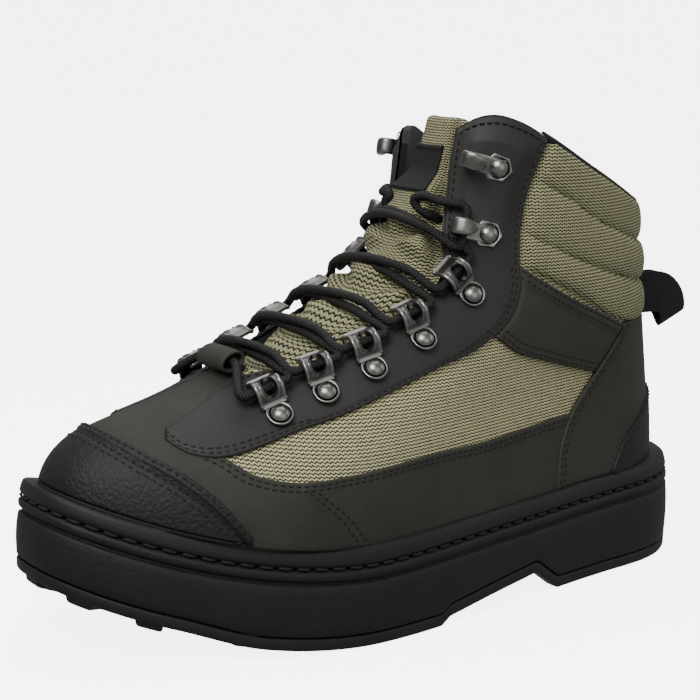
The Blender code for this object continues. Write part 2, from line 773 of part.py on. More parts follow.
# Eyestay: angle and height of its lower edge, then of its upper edge. Where the upper
# edge has no angle it follows the throat.
EYESTAY = (
    (0.878, 0.242, 0.904, 0.262),
    (0.824, 0.228, 0.908, 0.285),
    (0.788, 0.237, 0.924, 0.325),
    (0.742, 0.305, 0.944, 0.362),
    (0.727, 0.318, 0.932, 0.378),
    (0.712, 0.331, None, 0.393),
    (0.698, 0.344, None, 0.405),
    (0.683, 0.357, None, 0.420),
    (0.623, 0.405, None, 0.470),
    (0.578, 0.434, None, 0.520),
    (0.561, 0.472, None, 0.560),
    (0.577, 0.532, None, 0.600),
    (0.609, 0.590, None, 0.650),
    (0.641, 0.679, None, 0.720),
    (0.649, 0.740, None, 0.780),
    (0.637, 0.800, None, 0.835),
    (0.619, 0.858, None, 0.878),
)
EYESTAY_COLUMNS_ACROSS = 6

# Ankle band: angle and height of its lower and upper edge, from the eyestay to the heel
ANKLE_BAND = (
    (0.546, 0.443, 0.588, 0.575),
    (0.500, 0.410, 0.520, 0.545),
    (0.430, 0.377, 0.425, 0.500),
    (0.370, 0.349, 0.340, 0.460),
    (0.327, 0.330, 0.281, 0.430),
)


def build_toe_cap():
    """Toe cap: the rubbed leather over the toe, from the welt to its stitched edge."""
    half = np.linspace(CAP_EDGE[0][0], 1, 9)
    angles = np.concatenate([half, (2 - half[:-1])[::-1]])
    top = smooth(CAP_EDGE, CAP_COLUMNS, "height", fold(angles))
    rise = np.linspace(0, 1, 6)[:, None]
    shares = CAP_FOOT + (top - CAP_FOOT) * rise
    return overlay("toe_cap", np.broadcast_to(angles, shares.shape), shares, "black_leather")


def build_heel_pieces():
    """Heel panel round the back, and the heel counter on top of it."""
    for name, table, columns, rows, material, layer in (
        ("heel_panel", HEEL_PANEL, 14, 6, "olive_leather", 0),
        ("heel_counter", HEEL_COUNTER, 12, 6, "black_leather", 1),
    ):
        shares = np.linspace(HEEL_FOOT, table[-1][0], rows)
        half = smooth(table, HEEL_COLUMNS, "half_angle", shares)
        angles = half[:, None] * np.linspace(-1, 1, columns + 1)
        shares = np.broadcast_to(shares[:, None], angles.shape)
        overlay(name, angles, shares, material, layer)


def side_name(side):
    """Name of a side: outer for 1, inner for -1."""
    return "outer" if side > 0 else "inner"


def turned(angles, side):
    """The same angles on the outer or on the inner side."""
    return angles if side > 0 else 2 - angles


def build_eyestay(side):
    """Eyestay of one side, from the vamp along the throat to the collar."""
    margin = 0.0008
    rows = []
    for low_angle, low_height, high_angle, high_height in EYESTAY:
        if high_angle is None:
            reach = half_gap(high_height) + margin
            high_angle = float(angle_at_offset(high_height, reach))
        rows.append((low_angle, low_height, high_angle, high_height))
    rows = np.array(rows)
    across = np.linspace(0, 1, EYESTAY_COLUMNS_ACROSS + 1)
    angles = rows[:, 0:1] + (rows[:, 2:3] - rows[:, 0:1]) * across
    shares = rows[:, 1:2] + (rows[:, 3:4] - rows[:, 1:2]) * across
    shares[-1] = collar_share(angles[-1]) - margin / UPPER_HEIGHT
    name = f"eyestay_{side_name(side)}"
    return overlay(name, turned(angles, side), shares, "charcoal_leather")


def build_ankle_band(side):
    """Ankle band of one side, between the eyestay and the heel panel."""
    rows = np.array(ANKLE_BAND)
    across = np.linspace(0, 1, 4)
    angles = rows[:, 0:1] + (rows[:, 2:3] - rows[:, 0:1]) * across
    shares = rows[:, 1:2] + (rows[:, 3:4] - rows[:, 1:2]) * across
    name = f"ankle_band_{side_name(side)}"
    return overlay(name, turned(angles, side), shares, "olive_leather")


def tongue_raise(share):
    """How far the tongue's middle has come up into the throat, from 0 to 1."""
    start = THROAT[2][0] + TONGUE_CLIMB / 2
    return smooth_step((share - start) / TONGUE_CLIMB)


def tongue_recess(share):
    """How far the tongue's top part leans back from the throat."""
    return TONGUE_RECESS * np.clip((share - TONGUE_LEAN) / (TONGUE_TOP - TONGUE_LEAN), 0, 1)


def tongue_surface(share, sideways, thickness):
    """Points of the tongue at shares of height and places sideways of the middle line."""
    gap = np.maximum(half_gap(share), TONGUE_NARROWEST)
    rise = np.clip((gap - TONGUE_UNDERLAP - np.abs(sideways)) / TONGUE_SHOULDER, 0, 1)
    low = -(UPPER_WALL + 2 * CLEARANCE)
    depth = low * (1 - rise * tongue_raise(share)) - TONGUE_SINK * rise - tongue_recess(share)
    angles = angle_at_offset(share, sideways)
    return offset_point(angles, level(share), depth - thickness)


def tongue_columns(share):
    """Places of the tongue's columns sideways of the middle line, at each share."""
    gap = np.maximum(half_gap(share), TONGUE_NARROWEST)
    flat = gap - TONGUE_UNDERLAP - TONGUE_SHOULDER
    outer = np.stack([
        np.maximum(gap + TONGUE_UNDERLAP + CLEARANCE, TONGUE_HALF_WIDTH),
        gap + TONGUE_UNDERLAP,
        gap - TONGUE_UNDERLAP,
        flat,
        flat / 3,
    ], -1)
    return np.concatenate([-outer, outer[:, ::-1]], -1)


def build_tongue():
    """Tongue: a padded strip under the eyestays that comes up between them."""
    shares = np.linspace(TONGUE_BOTTOM, TONGUE_TOP, 17)
    sideways = tongue_columns(shares)
    shares = np.broadcast_to(shares[:, None], sideways.shape).copy()
    corner = np.clip((np.abs(sideways[-1]) - TONGUE_CORNER) / TONGUE_CORNER_WIDTH, 0, 1)
    shares[-1] -= TONGUE_CORNER_DROP * corner ** 2
    over = tongue_surface(shares, sideways, 0.0)
    under = tongue_surface(shares, sideways, TONGUE_THICKNESS)
    return closed_grid("tongue", under, over, "khaki_mesh")


def build_tongue_label():
    """Plain woven label on the tongue's middle, below its top."""
    shares = np.linspace(LABEL_BOTTOM, LABEL_TOP, 4)
    sideways = np.linspace(-0.5, 0.5, 5) * LABEL_WIDTH
    shares, sideways = np.meshgrid(shares, sideways, indexing="ij")
    under = tongue_surface(shares, sideways, -LABEL_GAP)
    over = tongue_surface(shares, sideways, -LABEL_GAP - LABEL_THICKNESS)
    return closed_grid("tongue_label", under, over, "black_fabric")


# Sheet metal profiles: across and height of the strip's lower face, from the rivet's end
EYELET_PROFILE = (
    (-0.0050, 0.0000),
    (0.0040, 0.0000),
    (0.0064, 0.0026),
    (0.0084, 0.0054),
    (0.0108, 0.0060),
    (0.0132, 0.0054),
    (0.0152, 0.0026),
    (0.0176, 0.0000),
)
HOOK_PROFILE = (
    (-0.0050, 0.0000),
    (0.0045, 0.0000),
    (0.0105, 0.0006),
    (0.0138, 0.0022),
    (0.0150, 0.0050),
    (0.0136, 0.0076),
    (0.0104, 0.0086),
    (0.0066, 0.0094),
)


def strip_mesh(profile, half_widths):
    """Bent strip of sheet metal along a profile, with its half width at each point."""
    path = np.array(profile)
    along = np.gradient(path, axis=0)
    along /= np.linalg.norm(along, axis=1, keepdims=True)
    normal = np.stack([-along[:, 1], along[:, 0]], -1)
    upper = path + normal * PLATE_THICKNESS
    points = []
    for k, half in enumerate(half_widths):
        for across, height in (path[k], upper[k]):
            points.append((across, -half, height))
            points.append((across, half, height))
    faces = []
    for k in range(len(profile) - 1):
        a = 4 * k
        b = a + 4
        faces += [(a, a + 1, b + 1, b), (a + 2, b + 2, b + 3, a + 3)]
        faces += [(a, b, b + 2, a + 2), (a + 1, a + 3, b + 3, b + 1)]
    last = 4 * (len(profile) - 1)
    faces += [(0, 2, 3, 1), (last, last + 1, last + 3, last + 2)]
    return points, faces


# The rivet's dome, from inside the plate upward: share of its radius, share of its height
RIVET_PROFILE = ((1.0, -0.375), (1.0, 0.25), (0.72, 0.63))
RIVET_CROWN = 0.80


def rivet_dome():
    """Points and faces of a low dome that stands through the plate."""
    sides = 8
    points = []
    for radius, height in RIVET_PROFILE:
        for k in range(sides):
            turn = 2 * math.pi * k / sides
            spot = (RIVET_RADIUS * radius * math.cos(turn), RIVET_RADIUS * radius * math.sin(turn))
            points.append((*spot, PLATE_THICKNESS + RIVET_HEIGHT * height))
    points.append((0, 0, PLATE_THICKNESS + RIVET_HEIGHT * RIVET_CROWN))
    faces = [tuple(range(sides))[::-1]]
    for ring in range(2):
        for k in range(sides):
            after = (k + 1) % sides
            a = ring * sides
            faces.append((a + k, a + after, a + after + sides, a + k + sides))
    faces += [(2 * sides + k, 2 * sides + (k + 1) % sides, 3 * sides) for k in range(sides)]
    return points, faces


def holder_mesh(name, profile, half_widths):
    """Mesh of one lace holder, its strip and its rivet joined."""
    strip = make_object(name, *strip_mesh(profile, half_widths), "antique_nickel")
    dome = make_object("rivet", *rivet_dome(), "antique_nickel")
    joined = unite(strip, [dome])
    mesh = joined.data
    bpy.data.objects.remove(joined, do_unlink=True)
    return mesh


def walk(angle, share, direction, distance):
    """Angle and share reached by walking over the surface along a direction."""
    steps = 6
    heading = np.array(direction)
    for _ in range(steps):
        height = level(share)
        here = upper_point(angle, height)
        by_angle = (upper_point(angle + 0.002, height) - here) / 0.002
        by_height = (upper_point(angle, height + 0.0005) - here) / 0.0005
        tangents = np.stack([by_angle, by_height], -1)
        move = np.linalg.lstsq(tangents, heading * distance / steps, rcond=None)[0]
        angle = angle + move[0]
        share = share + move[1] / UPPER_HEIGHT
        out = upper_normal(angle, level(share))
        heading = heading - out * np.dot(heading, out)
        heading /= np.linalg.norm(heading)
    return angle, share


def holder_frame(angle, share, turn, side):
    """Matrix of a lace holder: x to the throat, z out of the leather, origin at the rivet."""
    out = upper_normal(angle, level(share))
    up = np.array([0.0, 0.0, 1.0]) - out * out[2]
    up /= np.linalg.norm(up)
    swing = math.radians(turn)
    heading = up * math.cos(swing) + np.cross(out, up) * math.sin(swing)
    middle = walk(angle, share, heading, PLATE_MIDDLE)
    seat = 2 * FACET_GAP + OVERLAY_THICKNESS
    out = upper_normal(middle[0], level(middle[1]))
    toward = offset_point(middle[0], level(middle[1]), seat)
    toward = toward - offset_point(angle, level(share), seat)
    if side < 0:
        toward = toward * np.array([1.0, -1.0, 1.0])
        middle = (2 - middle[0], middle[1])
        out = upper_normal(middle[0], level(middle[1]))
    toward -= out * np.dot(toward, out)
    toward /= np.linalg.norm(toward)
    place = offset_point(middle[0], level(middle[1]), seat) - toward * PLATE_MIDDLE
    along = np.cross(out, toward)
    matrix = Matrix.Identity(4)
    for row in range(3):
        matrix[row][0] = toward[row]
        matrix[row][1] = along[row]
        matrix[row][2] = out[row]
        matrix[row][3] = place[row]
    return matrix


def holder_place(table, number, side):
    """Frame of one lace holder of a table on a side."""
    angle, share, turn = table[number]
    if table is HOOKS and side < 0:
        angle -= INNER_HOOK_SHIFT
    return holder_frame(angle, share, turn, side)


def build_holders():
    """Five eyelets and two hooks on each side."""
    half = EYELET_LENGTH / 2
    eyelet = holder_mesh("eyelet", EYELET_PROFILE, [half * 0.72] + [half] * 6 + [half * 0.8])
    half = HOOK_WIDTH / 2
    hook = holder_mesh("hook", HOOK_PROFILE, [half * 0.75] + [half] * 6 + [half * 0.8])
    for side in (1, -1):
        for kind, mesh, table in (("eyelet", eyelet, EYELETS), ("hook", hook, HOOKS)):
            for number in range(len(table)):
                name = f"{kind}_{side_name(side)}_{number + 1}"
                holder = bpy.data.objects.new(name, mesh)
                holder.parent = ROOT
                holder.matrix_local = holder_place(table, number, side)
                bpy.context.scene.collection.objects.link(holder)


def tube(name, points, radius, material):
    """Closed round tube through points, with flat ends."""
    points = np.array(points)
    along = np.gradient(points, axis=0)
    along /= np.linalg.norm(along, axis=1, keepdims=True)
    rings = []
    reference = np.array([0.0, 0.0, 1.0])
    for point, direction in zip(points, along):
        first = np.cross(direction, reference)
        first /= np.linalg.norm(first)
        second = np.cross(first, direction)
        turns = 2 * math.pi * np.arange(LACE_SIDES) / LACE_SIDES
        ring = point + radius * (np.outer(np.cos(turns), first) + np.outer(np.sin(turns), second))
        rings.append(ring)
    count = LACE_SIDES
    faces = [tuple(range(count))[::-1]]
    faces.append(tuple(range((len(rings) - 1) * count, len(rings) * count)))
    for r in range(len(rings) - 1):
        for k in range(count):
            after = (k + 1) % count
            low = r * count
            faces.append((low + k, low + after, low + after + count, low + k + count))
    return make_object(name, np.concatenate(rings), faces, material)


def holder_gate(table, number, side, end):
    """Points where the lace leaves a holder: end 1 toward the ankle, -1 to the toe."""
    matrix = holder_place(table, number, side)
    centre_height = PLATE_THICKNESS + LACE_RADIUS + LACE_ROOM
    # The frame's y points to the toe on the outer side and to the ankle on the inner side
    sign = -end * side
    gate = [
        matrix @ Vector((TUNNEL_CENTRE, sign * (EYELET_LENGTH / 2 + reach), centre_height))
        for reach in (HOOK_REACH if table is HOOKS else EYELET_REACH)
    ]
    return [np.array(point) for point in gate]


def climb_of(point):
    """How far up the throat's slope a point lies, counted up and back alike."""
    return point[..., 2] - point[..., 0]


def over_tongue(climb, sideways, lift):
    """Point of a lace's middle line where it passes over the tongue or the eyestay."""
    shares = np.linspace(KEEPER_LEVEL, HOOKS[0][1] + 2 * TUNNEL_RISE, 40)
    line = upper_point(angle_at_offset(shares, sideways), level(shares))
    share = np.interp(climb, climb_of(line), shares)
    angle = angle_at_offset(share, sideways)
    return offset_point(angle, level(share), lift + LACE_SPREAD_LIFT * abs(sideways))


# How high the middle lines of a crossing's two strands pass above the upper's own surface
# over the tongue, and by how much of their distance sideways they rise toward the sides
LACE_LIFT = {1: 0.0046, -1: 0.0062}
LACE_SPREAD_LIFT = 0.05
# Where a strand's points lie between its two holders
STRAND_PARTS = (0.22, 0.50, 0.78)
# Room between a holder's plate and the lace over it
LACE_ROOM = 0.0010
# How far past the end of a tunnel the lace's points lie: it leaves an eyelet straight, and
# turns at once under a hook
EYELET_REACH = (2 * CLEARANCE, 2.1 * LACE_RADIUS)
HOOK_REACH = (1.3 * LACE_RADIUS,)


def build_laces():
    """Lace bar through the keeper, and the crossings from each pair to the next."""
    holders = [(EYELETS, k) for k in range(len(EYELETS))] + [(HOOKS, 0)]
    for number in range(len(holders) - 1):
        table, low = holders[number]
        next_table, high = holders[number + 1]
        strands = []
        for side in (1, -1):
            start = holder_gate(table, low, side, 1)
            end = holder_gate(next_table, high, -side, -1)
            path = list(start)
            for part in STRAND_PARTS:
                spot = start[-1] * (1 - part) + end[-1] * part
                sideways = spot[1] - centre_line(spot[0])
                path.append(over_tongue(climb_of(spot), sideways, LACE_LIFT[side]))
            path += end[::-1]
            strands.append(tube(f"strand_{side_name(side)}", path, LACE_RADIUS, "black_fabric"))
        crossing = unite(strands[0], strands[1:])
        crossing.name = f"lace_crossing_{number + 1}"
        crossing.data.name = crossing.name
    start = holder_gate(EYELETS, 0, 1, -1)
    end = holder_gate(EYELETS, 0, -1, -1)
    middle = keeper_centre()
    sideways = np.array([0.0, KEEPER_HALF_WIDTH, 0.0])
    tube("lace_bar", start + [middle + sideways, middle - sideways] + end[::-1],
         LACE_RADIUS, "black_fabric")


def keeper_centre():
    """Middle of the keeper's tunnel, on the boot's ridge."""
    lift = KEEPER_HEIGHT + KEEPER_WALL + CLEARANCE + FACET_GAP + OVERLAY_THICKNESS
    return offset_point(np.array(1.0), level(KEEPER_LEVEL), lift)


def build_keeper():
    """Lace keeper: the vamp's top end, folded over into a flat tunnel across the boot."""
    centre = keeper_centre()
    out = upper_normal(np.array(1.0), level(KEEPER_LEVEL))
    forward = np.array([out[2], 0.0, -out[0]])
    sides = 12
    rings = []
    for half in (-KEEPER_HALF_WIDTH, KEEPER_HALF_WIDTH):
        for wall in (KEEPER_WALL, 0.0):
            turns = 2 * math.pi * np.arange(sides) / sides
            long_way = np.cos(turns)[:, None] * forward * (KEEPER_LENGTH / 2 + wall)
            high_way = np.sin(turns)[:, None] * out * (KEEPER_HEIGHT + wall)
            rings.append(centre + long_way + high_way + np.array([0.0, half, 0.0]))
    order = [rings[0], rings[1], rings[3], rings[2]]
    return lofted("lace_keeper", order, "olive_leather", as_tube=True)


def build_pull_loop():
    """Pull loop: a webbing folded in two behind the heel, drooping in its own plane."""
    seat = FACET_GAP + OVERLAY_THICKNESS + 2 * CLEARANCE
    middle = offset_point(np.array(0.0), level(LOOP_LEVEL), seat)
    sides = 20
    turns = 2 * math.pi * np.arange(sides) / sides
    share = (1 - np.cos(turns)) / 2
    bulge = np.sin(turns) * np.sqrt(np.maximum(share, LOOP_NARROWEST))
    loops = []
    for wall in (LOOP_THICKNESS, 0.0):
        along = LOOP_ROOT - wall + share * (LOOP_REACH - LOOP_ROOT + 2 * wall)
        loops.append(np.stack([along, bulge * (LOOP_EYE + wall)], -1))
    turn = math.radians(LOOP_TURN)
    straight_run = LOOP_REACH - LOOP_TAIL - LOOP_TURN_RADIUS * turn
    rings = []
    for half in (-0.5, 0.0, 0.5):
        ring_pair = []
        for loop in loops:
            along = loop[:, 0]
            width = half * LOOP_WIDTH
            bend = np.clip((along - straight_run) / LOOP_TURN_RADIUS, 0, turn)
            tail = np.maximum(along - straight_run - LOOP_TURN_RADIUS * turn, 0)
            radius = LOOP_TURN_RADIUS + width
            x = -np.minimum(along, straight_run) - radius * np.sin(bend) - tail * math.cos(turn)
            z = -LOOP_TURN_RADIUS + radius * np.cos(bend) - tail * math.sin(turn)
            root = offset_point(np.array(0.0), level(LOOP_LEVEL) + width, seat)
            ring_pair.append(np.stack([root[0] + x, middle[1] + loop[:, 1], middle[2] + z], -1))
        rings.append(ring_pair)
    order = [pair[0] for pair in rings] + [pair[1] for pair in rings[::-1]]
    return lofted("pull_loop", order, "black_fabric", as_tube=True)


build_outsole()
build_midsole()
build_welt()
build_insole()
build_upper()
build_tongue()
build_tongue_label()
build_toe_cap()
build_heel_pieces()
for boot_side in (1, -1):
    build_eyestay(boot_side)
    build_ankle_band(boot_side)
build_holders()
build_keeper()
build_laces()
build_pull_loop()
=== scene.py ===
"""Looks of a left wading boot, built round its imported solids.

Lengths are in metres. The boot's own x runs from the back of the sole to the toe, y to
its outer side and z up; every mesh is moved back by ORIGIN_X as it is made, so that it
lies in the frame of the solids. Places on the upper are given by an angle, 0 at the back,
1 at the toe or the throat and 2 at the back again, and by a share of the upper's height.
"""
from __future__ import annotations

import logging
import math
from dataclasses import dataclass, field
from enum import Enum
from typing import Callable, Sequence

import bmesh
import bpy
import numpy as np
from mathutils import Matrix, Vector

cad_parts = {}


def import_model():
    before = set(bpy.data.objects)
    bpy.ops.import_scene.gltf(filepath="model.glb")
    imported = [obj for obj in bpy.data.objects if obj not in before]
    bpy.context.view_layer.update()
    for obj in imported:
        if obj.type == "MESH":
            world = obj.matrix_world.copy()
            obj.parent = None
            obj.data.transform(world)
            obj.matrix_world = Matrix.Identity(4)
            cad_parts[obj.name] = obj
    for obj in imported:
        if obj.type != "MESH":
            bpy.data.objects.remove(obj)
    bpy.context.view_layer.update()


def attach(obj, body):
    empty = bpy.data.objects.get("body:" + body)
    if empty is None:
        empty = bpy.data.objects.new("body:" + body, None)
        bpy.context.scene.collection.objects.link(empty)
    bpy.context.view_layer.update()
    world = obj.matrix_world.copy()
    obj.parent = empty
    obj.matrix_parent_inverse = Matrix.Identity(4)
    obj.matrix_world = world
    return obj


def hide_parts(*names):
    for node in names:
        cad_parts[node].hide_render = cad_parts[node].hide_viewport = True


LOG = logging.getLogger("wading_boot")
BODY = "root"

# Sizes shared with the solids
SOLE_LENGTH = 0.315
BALL_WIDTH = 0.117
UPPER_HEIGHT = 0.190
MIDSOLE_FLOOR = 0.0240
HEEL_STATION = 0.160
ORIGIN_X = HEEL_STATION * SOLE_LENGTH
CLEARANCE = 0.0003
LACE_RADIUS = 0.0018
PLATE_THICKNESS = 0.0011
PLATE_MIDDLE = 0.0070
TUNNEL_CENTRE = 0.0108
HOLDER_SEAT = 0.0028

# Length over the upper of one unit of angle, about
GIRTH = 0.26
# How strongly a piece's grid crowds toward its edges
CROWDING = 0.85
# Edges that bend more sharply than this stay sharp
SHARP_ANGLE = math.radians(50)
# Specular level of everything but metal
DULL = 0.32

OUTLINE = np.array((
    (0.000, 0.374, 0.376),
    (0.143, 0.374, 0.376),
    (0.397, 0.449, 0.370),
    (0.651, 0.513, 0.487),
    (0.889, 0.418, 0.431),
    (1.000, 0.376, 0.388),
))
ARCH = np.array(((0.305, 0.00), (0.350, 1.00), (0.515, 0.30), (0.530, 0.00)))
LEVELS = np.array((
    (0.00, 0.038, 0.966, .322, .404, .458, .385, .318, .330, .424, .395, .160, .300, 2.4),
    (0.08, 0.039, 0.970, .324, .405, .459, .385, .320, .333, .425, .395, .160, .300, 2.4),
    (0.20, 0.045, 0.925, .312, .384, .444, .374, .310, .325, .414, .388, .160, .300, 2.3),
    (0.32, 0.054, 0.805, .302, .354, .405, .362, .302, .320, .400, .375, .160, .310, 2.2),
    (0.42, 0.062, 0.700, .302, .345, .382, .364, .302, .328, .382, .370, .160, .310, 2.1),
    (0.54, 0.072, 0.555, .300, .330, .353, .348, .300, .325, .353, .348, .160, .280, 2.1),
    (0.68, 0.083, 0.478, .304, .324, .339, .339, .304, .324, .339, .339, .160, .240, 2.1),
    (0.84, 0.089, 0.452, .323, .341, .349, .349, .323, .341, .349, .349, .165, .200, 2.1),
    (1.02, 0.092, 0.446, .334, .344, .349, .349, .334, .344, .349, .349, .165, .185, 2.1),
))
WIDTH_STATIONS = (0.12, 0.42, 0.70, 0.92)
COLLAR = np.array((
    (0.000, 0.680), (0.266, 0.709), (0.449, 0.779), (0.613, 0.862), (0.690, 0.898),
    (0.750, 0.912), (0.810, 0.906), (0.870, 0.880), (1.000, 0.860),
))
THROAT = np.array((
    (0.386, 0.000), (0.393, 0.105), (0.405, 0.158), (0.440, 0.200), (0.480, 0.222),
    (0.530, 0.230), (0.590, 0.212), (0.650, 0.172), (0.710, 0.147), (0.780, 0.138),
    (0.900, 0.145),
))
# Lace holders: angle and height of the rivet, and the plate's turn in degrees
EYELETS = (
    (0.787, 0.319, 25),
    (0.760, 0.365, 19),
    (0.722, 0.405, 20),
    (0.687, 0.453, 22),
    (0.676, 0.534, 40),
)
HOOKS = ((0.712, 0.658, 80), (0.732, 0.801, 75))
INNER_HOOK_SHIFT = 0.050
INNER_DROP = 0.042
INNER_DROP_SPAN = (0.42, 0.66)

Points = np.ndarray


def curve(table: Points, share: Points, column: int = 1) -> Points:
    """Smooth curve through one column of a table, by cubic pieces with matched slopes.

    Args:
        table: Rows whose first column is the place along the curve.
        share: Places at which the curve is wanted.
        column: The column whose values the curve goes through.

    Returns:
        The curve's values at the wanted places.
    """
    knots = table[:, 0]
    values = table[:, column]
    slopes = np.gradient(values, knots)
    share = np.clip(share, knots[0], knots[-1])
    k = np.clip(np.searchsorted(knots, share, side="right") - 1, 0, len(knots) - 2)
    width = knots[k + 1] - knots[k]
    t = (share - knots[k]) / width
    start = (1 + 2 * t) * (1 - t) ** 2 * values[k] + t * (1 - t) ** 2 * width * slopes[k]
    end = t * t * (3 - 2 * t) * values[k + 1] + t * t * (t - 1) * width * slopes[k + 1]
    return start + end


def ease(value: Points) -> Points:
    """Smooth step from 0 to 1, three squares less two cubes."""
    t = np.clip(value, 0, 1)
    return t * t * (3 - 2 * t)


def unit(vectors: Points) -> Points:
    """The same vectors at length 1."""
    return vectors / np.linalg.norm(vectors, axis=-1, keepdims=True)


class SoleForm:
    """The sole's outline and its curve seen from the side."""

    toe_spring: float = 0.0262
    spring_start: float = 0.625
    heel_drop: float = 0.0058
    heel_bevel: float = 0.0040
    heel_bevel_end: float = 0.080
    arch_height: float = 0.0100
    toe_turn: float = 0.0070
    ball_station: float = 0.635
    band: float = 0.0050
    toe_edge_gap: float = 0.0024
    toe_edge: tuple[float, float] = (0.780, 0.880)
    turn_start: float = 0.54
    turn_run: float = 0.46
    turn_power: float = 1.6
    heel_round: float = 0.170
    toe_round: float = 0.300
    heel_power: float = 2.3
    toe_power: float = 2.5
    step: float = 0.004

    def toe_rise(self, x: Points) -> Points:
        """Height by which the toe spring lifts everything at x: a parabola."""
        share = (x / SOLE_LENGTH - self.spring_start) / (1 - self.spring_start)
        return self.toe_spring * np.clip(share, 0, None) ** 2

    def bed(self, x: Points, height: Points) -> Points:
        """A height above the sole's own curve at x."""
        heel = self.heel_drop * np.clip(1 - x / (self.ball_station * SOLE_LENGTH), 0, None)
        return height + self.toe_rise(x) + heel

    def tread(self, x: Points) -> Points:
        """Lowest line of the tread at x: toe spring, arch and heel bevel.

        Args:
            x: Places along the sole.

        Returns:
            The heights.
        """
        arch = self.arch_height * np.interp(x / SOLE_LENGTH, ARCH[:, 0], ARCH[:, 1])
        bevel = np.clip(1 - x / (self.heel_bevel_end * SOLE_LENGTH), 0, 1)
        return self.toe_rise(x) + arch + self.heel_bevel * bevel ** 2

    def rim(self, x: Points) -> Points:
        """Lower edge of the outsole's band, which rises above the lugs round the toe.

        Args:
            x: Places along the sole.

        Returns:
            The heights.
        """
        start, end = self.toe_edge
        gap = ease((x / SOLE_LENGTH - start) / (end - start))
        return self.tread(x) + self.toe_edge_gap * gap

    def band_top(self, x: Points) -> Points:
        """Top of the outsole's band at x."""
        return self.rim(x) + self.band

    def centre(self, x: Points) -> Points:
        """How far the boot's middle line turns to the inner side at x."""
        share = np.clip((x / SOLE_LENGTH - self.turn_start) / self.turn_run, 0, None)
        return -self.toe_turn * share ** self.turn_power

    def edge(self, angle: Points) -> Points:
        """Points x, y of the sole's outline: half widths with two superellipse ends.

        Args:
            angle: Angles round the foot, 0 at the back.

        Returns:
            The points.
        """
        along = (1 - np.cos(np.pi * angle)) / 2
        outer = curve(OUTLINE, along, 1)
        inner = curve(OUTLINE, along, 2)
        back = np.clip(1 - along / self.heel_round, 0, 1) ** self.heel_power
        front = np.clip(1 - (1 - along) / self.toe_round, 0, 1) ** self.toe_power
        cap = (1 - back) ** (1 / self.heel_power) * (1 - front) ** (1 / self.toe_power)
        half = np.where(np.sin(np.pi * angle) >= 0, outer, -inner) * BALL_WIDTH
        x = along * SOLE_LENGTH
        return np.stack([x, half * cap + self.centre(x)], -1)

    def outline(self, angle: Points, inset: Points | float) -> Points:
        """Points x, y of the outline moved in by an inset, along its own normal.

        Args:
            angle: Angles round the foot, 0 at the back.
            inset: Distance inwards.

        Returns:
            The points.
        """
        tangent = self.edge(angle + self.step) - self.edge(angle - self.step)
        normal = unit(np.stack([-tangent[..., 1], tangent[..., 0]], -1))
        return self.edge(angle) - np.asarray(inset)[..., None] * normal


